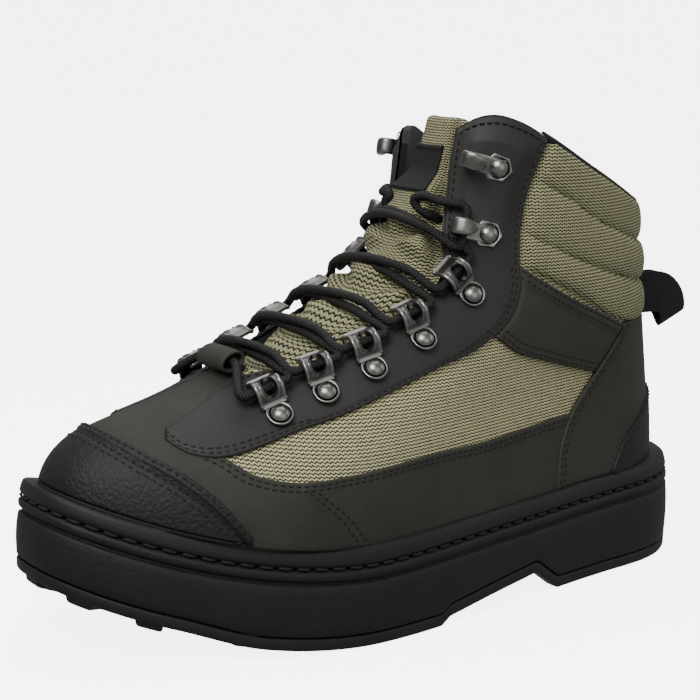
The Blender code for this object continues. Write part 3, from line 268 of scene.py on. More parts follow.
class UpperForm:
    """The upper's outer surface, from which every form of the upper is taken."""

    heel_power: float = 2.1
    angle_step: float = 0.004
    share_step: float = 0.003
    tries: int = 90
    strides: int = 6
    stride_angle: float = 0.002
    stride_share: float = 0.0026

    def __init__(self, sole: SoleForm) -> None:
        """Keep the sole that the upper stands on."""
        self.sole = sole

    def level(self, share: Points | float) -> Points:
        """Height in metres of a share of the upper's height."""
        return MIDSOLE_FLOOR + UPPER_HEIGHT * np.asarray(share, float)

    def surface(self, angle: Points, share: Points) -> Points:
        """Points of the surface: superellipse sections whose sizes change with height.

        Args:
            angle: Angles round the foot, 0 at the back.
            share: Shares of the upper's height.

        Returns:
            The points.
        """
        angle, share = np.broadcast_arrays(np.asarray(angle, float), np.asarray(share, float))
        value = [curve(LEVELS, share, k) for k in range(1, LEVELS.shape[1])]
        back, front = value[0], value[1]
        round_back, round_front, roundness = value[10:]
        along = (1 - np.cos(np.pi * angle)) / 2
        x = back + (front - back) * along
        widths = []
        for side in (0, 4):
            total = 0.0
            for k, station in enumerate(WIDTH_STATIONS):
                weight = 1.0
                for other in WIDTH_STATIONS:
                    if other != station:
                        weight = weight * (along - other) / (station - other)
                total = total + weight * value[2 + side + k]
            widths.append(total)
        rear = np.clip(1 - (x - back) / round_back, 0, 1) ** self.heel_power
        tip = np.clip(1 - (front - x) / round_front, 0, 1) ** roundness
        cap = (1 - rear) ** (1 / self.heel_power) * (1 - tip) ** (1 / roundness)
        half = np.where(np.sin(np.pi * angle) >= 0, widths[0], -widths[1]) * BALL_WIDTH
        x = x * SOLE_LENGTH
        z = self.sole.bed(x, self.level(share))
        return np.stack([x, half * cap + self.sole.centre(x), z], -1)

    def normal(self, angle: Points, share: Points) -> Points:
        """Outward unit normals of the surface, from small steps both ways.

        Args:
            angle: Angles round the foot, 0 at the back.
            share: Shares of the upper's height.

        Returns:
            The normals.
        """
        angle, share = np.broadcast_arrays(np.asarray(angle, float), np.asarray(share, float))
        side, rise = self.angle_step, self.share_step
        along = self.surface(angle + side, share) - self.surface(angle - side, share)
        up = self.surface(angle, share + rise) - self.surface(angle, share - rise)
        return unit(np.cross(up, along))

    def offset(self, angle: Points, share: Points, distance: Points | float) -> Points:
        """Points at a distance outside the surface."""
        normal = self.normal(angle, share)
        return self.surface(angle, share) + normal * np.asarray(distance)[..., None]

    def full_collar(self, angle: Points) -> Points:
        """Share of the height at which the outer side's collar ends."""
        return curve(COLLAR, self.folded(angle))

    def drop(self, angle: Points) -> Points:
        """How much lower the collar ends on the inner side.

        Args:
            angle: Angles round the foot, 0 at the back.

        Returns:
            The differences, as shares of the height.
        """
        start, end = INNER_DROP_SPAN
        inside = (angle > 1) | (angle < 0)
        return np.where(inside, INNER_DROP * ease((self.folded(angle) - start) / (end - start)), 0)

    def collar(self, angle: Points) -> Points:
        """Share of the height at which the collar ends."""
        return self.full_collar(angle) - self.drop(angle)

    @staticmethod
    def folded(angle: Points) -> Points:
        """The same angle on the outer side."""
        return np.where(angle > 1, 2 - angle, np.abs(angle))

    def half_gap(self, share: Points | float) -> Points:
        """Half of the throat's width at a share of the height."""
        return BALL_WIDTH * curve(THROAT, np.asarray(share, float))

    def angle_at(self, share: Points, sideways: Points) -> Points:
        """Angle at which the surface lies sideways of the middle line.

        The sideways reach of a row of angles on each row is compared with the wanted one, and
        the angle between the two nearest is found by proportion.

        Args:
            share: Shares of the upper's height.
            sideways: Distances from the middle line, positive to the outer side.

        Returns:
            The angles, in the shape of the two arrays together.
        """
        share, sideways = np.broadcast_arrays(
            np.asarray(share, float), np.asarray(sideways, float))
        flat = share.ravel()[:, None]
        side = np.where(sideways.ravel() >= 0, 1.0, -1.0)[:, None]
        near = np.linspace(0, 0.5, self.tries)[None, :]
        points = self.surface(1 - side * near, np.broadcast_to(flat, (len(flat), self.tries)))
        reach = side * (points[..., 1] - self.sole.centre(points[..., 0]))
        reach = np.maximum.accumulate(reach, axis=1)
        wanted = np.abs(sideways.ravel())[:, None]
        after = np.clip((reach < wanted).sum(axis=1), 1, self.tries - 1)
        rows = np.arange(len(after))
        low = reach[rows, after - 1]
        high = reach[rows, after]
        part = np.clip((wanted[:, 0] - low) / np.maximum(high - low, 1e-9), 0, 1)
        turn = (near[0, after - 1] + part * (near[0, after] - near[0, after - 1]))
        return (1 - side[:, 0] * turn).reshape(share.shape)

    def throat(self, share: Points) -> Points:
        """Angle of the throat's outer edge, or 1 below the throat.

        Args:
            share: Shares of the upper's height.

        Returns:
            The angles.
        """
        share = np.asarray(share, float)
        found = self.angle_at(share, self.half_gap(share))
        return np.where(share > THROAT[0, 0], found, 1.0)

    def walk(self, angle: float, share: float, heading: Points, distance: float) -> tuple:
        """Angle and share reached by walking over the surface in a few straight steps.

        Args:
            angle: Angle at the start.
            share: Share at the start.
            heading: Direction of the walk.
            distance: Its length.

        Returns:
            Angle and share at its end.
        """
        turn, rise = self.stride_angle, self.stride_share
        for _ in range(self.strides):
            here = self.surface(angle, share)
            by_angle = (self.surface(angle + turn, share) - here) / turn
            by_share = (self.surface(angle, share + rise) - here) / rise
            tangents = np.stack([by_angle, by_share], -1)
            move = np.linalg.lstsq(tangents, heading * distance / self.strides, rcond=None)[0]
            angle = angle + move[0]
            share = share + move[1]
            out = self.normal(angle, share)
            heading = unit(heading - out * np.dot(heading, out))
        return angle, share

    def holder_frame(self, place: tuple, side: int) -> Matrix:
        """Matrix of a lace holder: x to the throat, z out of the leather, from the rivet.

        Args:
            place: Angle and share of the rivet, and the turn.
            side: 1 for the outer side, -1 for the inner.

        Returns:
            The matrix.
        """
        angle, share, turn = place
        if side < 0 and place in HOOKS:
            angle -= INNER_HOOK_SHIFT
        out = self.normal(angle, share)
        up = unit(np.array([0.0, 0.0, 1.0]) - out * out[2])
        swing = math.radians(turn)
        heading = up * math.cos(swing) + np.cross(out, up) * math.sin(swing)
        middle = self.walk(angle, share, heading, PLATE_MIDDLE)
        out = self.normal(*middle)
        toward = self.offset(*middle, HOLDER_SEAT) - self.offset(angle, share, HOLDER_SEAT)
        if side < 0:
            toward = toward * np.array([1.0, -1.0, 1.0])
            middle = (2 - middle[0], middle[1])
            out = self.normal(*middle)
        toward = unit(toward - out * np.dot(toward, out))
        place = self.offset(*middle, HOLDER_SEAT) - toward * PLATE_MIDDLE
        matrix = Matrix.Identity(4)
        for column, axis in enumerate((toward, np.cross(out, toward), out, place)):
            for row in range(3):
                matrix[row][column] = float(axis[row])
        return matrix


class Shade(Enum):
    """Which surface pattern a finish carries."""

    PLAIN = "plain"
    GRAIN = "grain"
    KNIT = "knit"
    BRAID = "braid"
    WEAVE = "weave"
    PILE = "pile"
    METAL = "metal"


@dataclass(frozen=True)
class Finish:
    """One finish: colours as 0 to 255 screen values, gloss, and its pattern's size."""

    name: str
    shade: Shade
    colour: tuple[int, int, int]
    second: tuple[int, int, int]
    roughness: float
    pitch: float = 0.001
    relief: float = 0.0001
    metallic: float = 0.0
    sheen: float = 0.0
    glow: float = 0.0


RUBBER = Finish("moulded_rubber", Shade.GRAIN, (9, 9, 10), (14, 14, 14), 0.60, 0.0009, 0.00004)
FOAM = Finish("moulded_foam", Shade.GRAIN, (9, 9, 10), (14, 14, 14), 0.64, 0.0013, 0.00014)
OLIVE = Finish("nubuck_leather", Shade.GRAIN, (41, 41, 34), (34, 34, 28), 0.72, 0.0008, 0.00007)
CHARCOAL = Finish("smooth_leather", Shade.GRAIN, (32, 31, 29), (27, 26, 25), 0.60, 0.0007, 0.00005)
PEBBLED = Finish("pebbled_leather", Shade.GRAIN, (11, 11, 11), (5, 5, 5), 0.62, 0.0013, 0.00030)
SIDE_KNIT = Finish("side_mesh", Shade.KNIT, (178, 174, 133), (24, 24, 14), 0.85, 0.00132, 0.00038)
# Darker copy of the side knit, used on the collar and the tongue: its lower colours are painted
# shade.
SHADED_KNIT = Finish("shaded_mesh", Shade.KNIT, (151, 149, 113), (20, 20, 12), 0.86,
                     0.00140, 0.00040)
LINING = Finish("plush_lining", Shade.PILE, (13, 13, 14), (7, 7, 7), 0.95, 0.0006,
                0.00012, sheen=0.15)
BINDING = Finish("binding_tape", Shade.WEAVE, (14, 14, 15), (8, 8, 8), 0.85, 0.0007, 0.00006)
WEBBING = Finish("webbing", Shade.WEAVE, (14, 14, 15), (6, 6, 6), 0.80, 0.0011, 0.00016)
LABEL = Finish("woven_label", Shade.WEAVE, (15, 15, 16), (10, 10, 11), 0.82, 0.0005, 0.00004)
CORD = Finish("braided_cord", Shade.BRAID, (9, 9, 9), (2, 2, 2), 0.52, 0.0013, 0.00026)
THREAD = Finish("thread", Shade.PLAIN, (15, 15, 14), (15, 15, 14), 0.75)
NICKEL = Finish("antique_nickel", Shade.METAL, (124, 122, 119), (14, 14, 13), 0.31,
                0.004, 0.00001, metallic=1.0)
FLOOR = Finish("studio_floor", Shade.PLAIN, (248, 248, 248), (248, 248, 248), 0.70,
               glow=5.0)


def linear(colour: Sequence[int]) -> tuple[float, float, float, float]:
    """Linear colour of 0 to 255 screen values: the power 2.4 curve with its short foot.

    Args:
        colour: Screen values of red, green and blue.

    Returns:
        Linear red, green and blue, with an alpha of 1.
    """
    share = np.array(colour) / 255
    low = share / 12.92
    high = ((share + 0.055) / 1.055) ** 2.4
    return (*(float(v) for v in np.where(share > 0.04045, high, low)), 1.0)


class Graph:
    """Short ways to add and join the nodes of one tree."""

    def __init__(self, tree: bpy.types.NodeTree) -> None:
        """Keep the tree."""
        self.tree = tree

    def add(self, kind: str, **settings: object) -> bpy.types.Node:
        """Add a node with its settings.

        Args:
            kind: Type of the node.
            settings: Its attributes.

        Returns:
            The node.
        """
        node = self.tree.nodes.new(kind)
        for name, value in settings.items():
            setattr(node, name, value)
        return node

    def put(self, socket: bpy.types.NodeSocket, value: object) -> None:
        """Join an output to a socket, or write a plain value on it.

        Args:
            socket: Input to join or set.
            value: Output or plain value.
        """
        if isinstance(value, bpy.types.NodeSocket):
            self.tree.links.new(value, socket)
        else:
            socket.default_value = value

    def math(self, operation: str, *values: object) -> bpy.types.NodeSocket:
        """Output of a math node over up to three values.

        Args:
            operation: Name of the operation.
            values: Outputs or numbers.

        Returns:
            The node's output.
        """
        node = self.add("ShaderNodeMath", operation=operation)
        for socket, value in zip(node.inputs, values):
            self.put(socket, value)
        return node.outputs[0]

    def mix(self, factor: object, first: object, second: object) -> bpy.types.NodeSocket:
        """Output of a colour mix.

        Args:
            factor: Share of the second colour.
            first: First colour.
            second: Second colour.

        Returns:
            The node's output.
        """
        node = self.add("ShaderNodeMix", data_type="RGBA")
        self.put(node.inputs[0], factor)
        self.put(node.inputs[6], first)
        self.put(node.inputs[7], second)
        return node.outputs[2]

    def noise(self, place: object, scale: object, detail: float = 2.0) -> bpy.types.Node:
        """Noise texture over a place.

        Args:
            place: Output that gives the place.
            scale: Output or number.
            detail: How many finer layers it has.

        Returns:
            The node.
        """
        node = self.add("ShaderNodeTexNoise")
        self.put(node.inputs["Vector"], place)
        self.put(node.inputs["Scale"], scale)
        self.put(node.inputs["Detail"], detail)
        return node

    def span(self, value: object, low: float, high: float) -> bpy.types.NodeSocket:
        """Smooth step of a value from 0 at low to 1 at high.

        Args:
            value: Output to read.
            low: Value that gives 0.
            high: Value that gives 1.

        Returns:
            The node's output.
        """
        node = self.add("ShaderNodeMapRange", interpolation_type="SMOOTHSTEP")
        self.put(node.inputs[0], value)
        node.inputs[1].default_value = low
        node.inputs[2].default_value = high
        return node.outputs[0]


def new_pattern(name: str, ask: Callable[[Graph, bpy.types.Node], tuple]) -> bpy.types.NodeTree:
    """Node group with a place and a pitch going in, and a mask and a height coming out.

    Args:
        name: The group's name.
        ask: Builds the pattern and returns its mask and its height.

    Returns:
        The new group.
    """
    tree = bpy.data.node_groups.new(name, "ShaderNodeTree")
    tree.interface.new_socket("Place", in_out="INPUT", socket_type="NodeSocketVector")
    tree.interface.new_socket("Pitch", in_out="INPUT", socket_type="NodeSocketFloat")
    tree.interface.new_socket("Mask", in_out="OUTPUT", socket_type="NodeSocketFloat")
    tree.interface.new_socket("Height", in_out="OUTPUT", socket_type="NodeSocketFloat")
    graph = Graph(tree)
    entry = graph.add("NodeGroupInput")
    leave = graph.add("NodeGroupOutput")
    mask, height = ask(graph, entry)
    graph.put(leave.inputs[0], mask)
    graph.put(leave.inputs[1], height)
    return tree


def cells(graph: Graph, entry: bpy.types.Node) -> tuple:
    """Leather grain: rounded cells of uneven size over slow mottling.

    Args:
        graph: Graph of the group.
        entry: The group's input node.

    Returns:
        The mask and the height.
    """
    scale = graph.math("DIVIDE", 1.0, entry.outputs[1])
    warp = graph.noise(entry.outputs[0], graph.math("MULTIPLY", scale, 0.7), 3.0)
    grain = graph.add("ShaderNodeTexVoronoi", feature="SMOOTH_F1")
    shift = graph.add("ShaderNodeVectorMath", operation="MULTIPLY_ADD")
    graph.put(shift.inputs[0], warp.outputs["Color"])
    step = graph.add("ShaderNodeCombineXYZ")
    for socket in step.inputs:
        graph.put(socket, graph.math("MULTIPLY", entry.outputs[1], 0.6))
    graph.put(shift.inputs[1], step.outputs[0])
    graph.put(shift.inputs[2], entry.outputs[0])
    graph.put(grain.inputs["Vector"], shift.outputs[0])
    graph.put(grain.inputs["Scale"], scale)
    slow = graph.noise(entry.outputs[0], 55.0, 4.0)
    height = graph.math("SUBTRACT", 1.0, grain.outputs["Distance"])
    blend = graph.math("MULTIPLY_ADD", warp.outputs["Fac"], 0.4,
                       graph.math("MULTIPLY", slow.outputs["Fac"], 0.9))
    mask = graph.span(blend, 0.45, 0.85)
    return mask, graph.math("MULTIPLY_ADD", warp.outputs["Fac"], 0.35, height)


def rows_and_columns(graph: Graph, entry: bpy.types.Node) -> tuple:
    """The pattern's place as counts of pitches along and across.

    Args:
        graph: Graph of the group.
        entry: The group's input node.

    Returns:
        The counts along and across.
    """
    parts = graph.add("ShaderNodeSeparateXYZ")
    graph.put(parts.inputs[0], entry.outputs[0])
    return tuple(graph.math("DIVIDE", parts.outputs[k], entry.outputs[1]) for k in (0, 1))


def zigzag(graph: Graph, entry: bpy.types.Node) -> tuple:
    """Knit: rows of strands that zigzag, with dark gaps between and thin turns.

    Args:
        graph: Graph of the group.
        entry: The group's input node.

    Returns:
        The mask and the height.
    """
    along, across = rows_and_columns(graph, entry)
    swing = graph.math("PINGPONG", graph.math("MULTIPLY", along, 0.62), 0.5)
    row = graph.math("FRACT", graph.math("MULTIPLY_ADD", swing, 1.0, across))
    strand = graph.math("SINE", graph.math("MULTIPLY", row, math.pi))
    turn = graph.math("PINGPONG", graph.math("MULTIPLY_ADD", along, 1.24, 0.0), 0.5)
    full = graph.math("MULTIPLY", strand, graph.span(turn, -0.08, 0.14))
    noise = graph.noise(entry.outputs[0], 420.0)
    uneven = graph.math("MULTIPLY_ADD", noise.outputs["Fac"], 0.35, -0.17)
    mask = graph.span(graph.math("ADD", full, uneven), 0.30, 0.80)
    return mask, full


def braid(graph: Graph, entry: bpy.types.Node) -> tuple:
    """Cord: strands that cross in two spirals round it.

    Args:
        graph: Graph of the group.
        entry: The group's input node.

    Returns:
        The mask and the height.
    """
    along, across = rows_and_columns(graph, entry)
    one = graph.math("SINE", graph.math("MULTIPLY", graph.math("ADD", along, across), math.pi))
    two = graph.math("SINE", graph.math("MULTIPLY", graph.math("SUBTRACT", along, across), math.pi))
    height = graph.math("ABSOLUTE", graph.math("MULTIPLY", one, two))
    return graph.span(height, 0.1, 0.8), height


def weave(graph: Graph, entry: bpy.types.Node) -> tuple:
    """Tape: fine slanted ribs crossed by the edge-to-edge threads.

    Args:
        graph: Graph of the group.
        entry: The group's input node.

    Returns:
        The mask and the height.
    """
    along, across = rows_and_columns(graph, entry)
    slant = graph.math("MULTIPLY_ADD", across, 0.5, along)
    rib = graph.math("ABSOLUTE", graph.math("SINE", graph.math("MULTIPLY", slant, math.pi)))
    cross = graph.math("ABSOLUTE", graph.math("SINE", graph.math("MULTIPLY", across, math.pi)))
    height = graph.math("MULTIPLY_ADD", cross, 0.4, rib)
    return graph.span(height, 0.3, 1.1), height


def pile(graph: Graph, entry: bpy.types.Node) -> tuple:
    """Plush: short uneven tufts.

    Args:
        graph: Graph of the group.
        entry: The group's input node.

    Returns:
        The mask and the height.
    """
    noise = graph.noise(entry.outputs[0], graph.math("DIVIDE", 1.0, entry.outputs[1]), 5.0)
    return graph.span(noise.outputs["Fac"], 0.3, 0.75), noise.outputs["Fac"]


def tarnish(graph: Graph, entry: bpy.types.Node) -> tuple:
    """Metal: dark patches that rubbing has left in the hollows.

    Args:
        graph: Graph of the group.
        entry: The group's input node.

    Returns:
        The mask and the height.
    """
    noise = graph.noise(entry.outputs[0], graph.math("DIVIDE", 1.0, entry.outputs[1]), 6.0)
    worn = graph.add("ShaderNodeAttribute", attribute_name="rubbed")
    total = graph.math("MULTIPLY_ADD", noise.outputs["Fac"], 0.5, worn.outputs["Fac"])
    return graph.span(total, 0.28, 0.95), noise.outputs["Fac"]


class Paints:
    """Makes each finish's material once."""

    patterns = {
        Shade.GRAIN: cells, Shade.KNIT: zigzag, Shade.BRAID: braid,
        Shade.WEAVE: weave, Shade.PILE: pile, Shade.METAL: tarnish,
    }
    flat = (Shade.KNIT, Shade.BRAID, Shade.WEAVE)

    def __init__(self) -> None:
        """Start with no materials."""
        self.made: dict[str, bpy.types.Material] = {}
        self.groups: dict[Shade, bpy.types.NodeTree] = {}

    def get(self, finish: Finish) -> bpy.types.Material:
        """The material of a finish.

        Args:
            finish: The finish.

        Returns:
            The material.
        """
        if finish.name not in self.made:
            self.made[finish.name] = self.mix(finish)
        return self.made[finish.name]

    def mix(self, finish: Finish) -> bpy.types.Material:
        """Build a material: a pattern's mask mixes two colours and its height makes bump.

        Args:
            finish: The finish.

        Returns:
            The material.
        """
        material = bpy.data.materials.new(finish.name)
        material.use_nodes = True
        graph = Graph(material.node_tree)
        graph.tree.nodes.clear()
        shader = graph.add("ShaderNodeBsdfPrincipled")
        output = graph.add("ShaderNodeOutputMaterial")
        graph.put(output.inputs[0], shader.outputs[0])
        for name, value in (("Roughness", finish.roughness), ("Metallic", finish.metallic),
                            ("Sheen Weight", finish.sheen),
                            ("Specular IOR Level", 0.5 if finish.metallic else DULL)):
            graph.put(shader.inputs[name], value)
        material.diffuse_color = linear(finish.colour)
        if finish.shade is Shade.PLAIN:
            shader.inputs["Base Color"].default_value = linear(finish.colour)
            shader.inputs["Emission Color"].default_value = (1.0, 1.0, 1.0, 1.0)
            shader.inputs["Emission Strength"].default_value = finish.glow
            return material
        if finish.shade not in self.groups:
            self.groups[finish.shade] = new_pattern(
                finish.shade.value + "_pattern", self.patterns[finish.shade])
        group = graph.add("ShaderNodeGroup", node_tree=self.groups[finish.shade])
        place = graph.add("ShaderNodeTexCoord")
        graph.put(group.inputs[0], place.outputs["UV" if finish.shade in self.flat else "Object"])
        group.inputs[1].default_value = finish.pitch
        colour = graph.mix(group.outputs[0], linear(finish.second), linear(finish.colour))
        graph.put(shader.inputs["Base Color"], colour)
        if finish.shade is Shade.METAL:
            gloss = graph.math("MULTIPLY_ADD", group.outputs[0], -0.22, finish.roughness + 0.2)
            graph.put(shader.inputs["Roughness"], gloss)
        bump = graph.add("ShaderNodeBump")
        bump.inputs["Distance"].default_value = finish.relief
        graph.put(bump.inputs["Height"], group.outputs[1])
        graph.put(shader.inputs["Normal"], bump.outputs[0])
        return material


def quads(rows: int, columns: int, wrap: bool = False, first: int = 0) -> Points:
    """Quads over a grid of points numbered row by row, with its columns closed on ask.

    Args:
        rows: Rows of the grid.
        columns: Points in a row.
        wrap: Whether the last column joins the first.
        first: Number of the first point.

    Returns:
        Four point numbers for each quad.
    """
    numbers = first + np.arange(rows * columns).reshape(rows, columns)
    after = np.roll(numbers, -1, axis=1)
    if not wrap:
        numbers, after = numbers[:, :-1], after[:, :-1]
    return np.stack([numbers[:-1], after[:-1], after[1:], numbers[1:]], -1).reshape(-1, 4)


def arc_lengths(points: Points, axis: int) -> Points:
    """Running length along one axis of a grid of points.

    Args:
        points: Grid of points.
        axis: Axis to run along.

    Returns:
        The lengths, from 0 at the start.
    """
    steps = np.linalg.norm(np.diff(points, axis=axis), axis=-1)
    total = np.cumsum(steps, axis=axis)
    first = np.zeros_like(np.take(total, [0], axis=axis))
    return np.concatenate([first, total], axis=axis)


@dataclass
class Shape:
    """Points, faces and flat coordinates of a mesh before it is made."""

    points: list = field(default_factory=list)
    faces: list = field(default_factory=list)
    flat: list = field(default_factory=list)
    slots: list = field(default_factory=list)
    rubbed: list = field(default_factory=list)
    count: int = 0

    def add(self, points: Points, faces: Sequence, flat: Points | None = None, slot: int = 0,
            rubbed: Points | None = None) -> None:
        """Add points and the faces over them.

        Args:
            points: The new points.
            faces: Faces of one size as an array, or a list of any faces.
            flat: Flat coordinates of the points, in metres.
            slot: Number of the material of these faces.
            rubbed: How rubbed each point is, from 0 to 1.
        """
        points = np.asarray(points, float).reshape(-1, 3)
        number = len(points)
        self.points.append(points)
        shifted = [tuple(int(v) + self.count for v in face) for face in faces]
        self.faces += shifted
        self.slots += [slot] * len(shifted)
        self.flat.append(np.zeros((number, 2)) if flat is None else np.reshape(flat, (-1, 2)))
        self.rubbed.append(np.zeros(number) if rubbed is None else np.ravel(rubbed))
        self.count += number

    def sheet(self, over: Points, under: Points, flat: Points | None = None,
              slots: tuple[int, int] = (0, 0), top_slots: Points | None = None) -> None:
        """Add a closed sheet between two grids of points, with walls round its edge.

        Args:
            over: The outer grid, rows by columns.
            under: The inner grid of the same shape.
            flat: Flat coordinates of the outer grid.
            slots: Materials of the outer and of the inner faces.
            top_slots: Materials of the outer faces one by one, where they differ.
        """
        rows, columns = over.shape[:2]
        count = rows * columns
        if flat is None:
            flat = np.stack([arc_lengths(over, 1), arc_lengths(over, 0)], -1)
        top = quads(rows, columns)
        base = quads(rows, columns, first=count)[:, ::-1]
        numbers = np.arange(count).reshape(rows, columns)
        ring = np.concatenate([numbers[0], numbers[1:, -1], numbers[-1, -2::-1],
                               numbers[-2:0:-1, 0]])
        after = np.roll(ring, -1)
        wall = np.stack([after, ring, ring + count, after + count], -1)
        start = len(self.slots)
        points = np.concatenate([over.reshape(-1, 3), under.reshape(-1, 3)])
        both = np.concatenate([flat.reshape(-1, 2)] * 2)
        self.add(points, np.concatenate([top, base, wall]), both, slots[0])
        if top_slots is not None:
            self.slots[start:start + len(top)] = np.ravel(top_slots).astype(int).tolist()
        for k in range(start + len(top), len(self.slots)):
            self.slots[k] = slots[1]

    def loft(self, rings: Points, as_ring: bool = False,
             rubbed: Points | None = None) -> None:
        """Add closed rings joined in order, with end caps or closed on themselves.

        Args:
            rings: Closed rings, one to a row.
            as_ring: Whether the last ring joins the first.
            rubbed: How rubbed each point is, from 0 to 1.
        """
        rings = np.asarray(rings, float)
        rows, columns = rings.shape[:2]
        flat = np.stack([arc_lengths(rings, 1), arc_lengths(rings, 0)], -1)
        faces = quads(rows, columns, wrap=True).tolist()
        if as_ring:
            last = (rows - 1) * columns
            turn = np.arange(columns)
            after = (turn + 1) % columns
            faces += np.stack([last + turn, last + after, after, turn], -1).tolist()
        else:
            faces.append(list(range(columns))[::-1])
            faces.append(list(range((rows - 1) * columns, rows * columns)))
        self.add(rings, faces, flat, rubbed=rubbed)


def build_piece(name: str, shape: Shape, materials: Sequence[bpy.types.Material],
                nodes: Sequence[str] = ()) -> bpy.types.Object:
    """Make an object of a shape, moved into the frame of the solids.

    Args:
        name: The object's name.
        shape: Its points, faces and flat coordinates.
        materials: Its materials, in the order of the shape's slots.
        nodes: The solids whose place it takes.

    Returns:
        The new object.
    """
    points = np.concatenate(shape.points) - np.array([ORIGIN_X, 0, 0])
    mesh = bpy.data.meshes.new(name)
    mesh.from_pydata(points.tolist(), [], shape.faces)
    for material in materials:
        mesh.materials.append(material)
    mesh.polygons.foreach_set("material_index", shape.slots)
    mesh.polygons.foreach_set("use_smooth", [True] * len(shape.faces))
    corners = np.empty(len(mesh.loops), dtype=int)
    mesh.loops.foreach_get("vertex_index", corners)
    layer = mesh.uv_layers.new(name="flat")
    layer.data.foreach_set("uv", np.concatenate(shape.flat)[corners].ravel())
    rubbed = mesh.attributes.new("rubbed", "FLOAT", "POINT")
    rubbed.data.foreach_set("value", np.concatenate(shape.rubbed))
    tidy = bmesh.new()
    tidy.from_mesh(mesh)
    bmesh.ops.recalc_face_normals(tidy, faces=tidy.faces)
    tidy.to_mesh(mesh)
    tidy.free()
    mesh.set_sharp_from_angle(angle=SHARP_ANGLE)
    piece = bpy.data.objects.new(name, mesh)
    bpy.context.scene.collection.objects.link(piece)
    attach(piece, BODY)
    if nodes:
        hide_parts(*nodes)
    LOG.info("%s: %d faces", name, len(mesh.polygons))
    return piece


class Stitches:
    """Rows of thread stitches, kept as one mesh of small closed rolls."""

    along = np.array([-1.0, -0.78, 0.0, 0.78, 1.0])
    girth = np.array([0.35, 0.85, 1.0, 0.85, 0.35])
    rise = np.array([-0.9, 0.0, 0.45, 0.0, -0.9])
    sides = 6

    def __init__(self) -> None:
        """Start with no stitches."""
        self.shape = Shape()

    def row(self, points: Points, normals: Points, length: float = 0.0023,
            pitch: float = 0.0031, radius: float = 0.00038) -> None:
        """Lay stitches along a line.

        Args:
            points: Points of the line, in order.
            normals: Outward normals at the points.
            length: Length of one stitch.
            pitch: Distance from one stitch to the next.
            radius: Radius of the thread.
        """
        run = arc_lengths(points, 0)
        places = np.arange(pitch / 2, run[-1] - pitch / 4, pitch)
        if len(places) == 0:
            return
        centre, after, before, out = (
            np.stack([np.interp(where, run, values[:, k]) for k in range(3)], -1)
            for values, where in ((points, places), (points, places + pitch / 4),
                                  (points, places - pitch / 4), (normals, places)))
        ahead = unit(after - before + 1e-12)
        out = unit(out)
        across = unit(np.cross(ahead, out))
        turns = 2 * np.pi * np.arange(self.sides) / self.sides
        ring = (across[:, None, None, :] * np.cos(turns)[None, None, :, None]
                + out[:, None, None, :] * np.sin(turns)[None, None, :, None] * 0.8)
        body = centre[:, None, None, :] + ring * (self.girth * radius)[None, :, None, None]
        body = body + ahead[:, None, None, :] * (self.along * length / 2)[None, :, None, None]
        body = body + out[:, None, None, :] * (self.rise * radius)[None, :, None, None]
        count = len(self.along) * self.sides
        skin = quads(len(self.along), self.sides, wrap=True)
        cap = np.arange(self.sides)
        ends = [cap[::-1], cap + count - self.sides]
        shift = count * np.arange(len(places))[:, None, None]
        self.shape.add(body, (skin[None] + shift).reshape(-1, 4))
        first = self.shape.count - count * len(places)
        for end in ends:
            faces = end[None, :] + count * np.arange(len(places))[:, None] + first
            self.shape.faces += [tuple(face) for face in faces.tolist()]
            self.shape.slots += [0] * len(places)


def trace(knots: Sequence[Sequence[float]], count: int) -> Points:
    """Smooth line through knots of any width, spaced by their length over the upper.

    Args:
        knots: Rows of angle and share, one pair or more side by side.
        count: Number of points wanted.

    Returns:
        The points, with as many columns as the knots.
    """
    rows = np.array(knots, float)
    pairs = rows.reshape(len(rows), -1, 2) * np.array([GIRTH, UPPER_HEIGHT])
    steps = np.linalg.norm(np.diff(pairs, axis=0), axis=-1).mean(axis=1)
    place = np.concatenate([[0], np.cumsum(steps)])
    table = np.column_stack([place / place[-1], rows])
    at = np.linspace(0, 1, count)
    return np.stack([curve(table, at, k + 1) for k in range(rows.shape[1])], -1)


def crowded(count: int) -> Points:
    """Places from 0 to 1 that crowd toward both ends: s less a share of a sine wave."""
    s = np.linspace(0, 1, count)
    return s - CROWDING * np.sin(2 * np.pi * s) / (2 * np.pi)


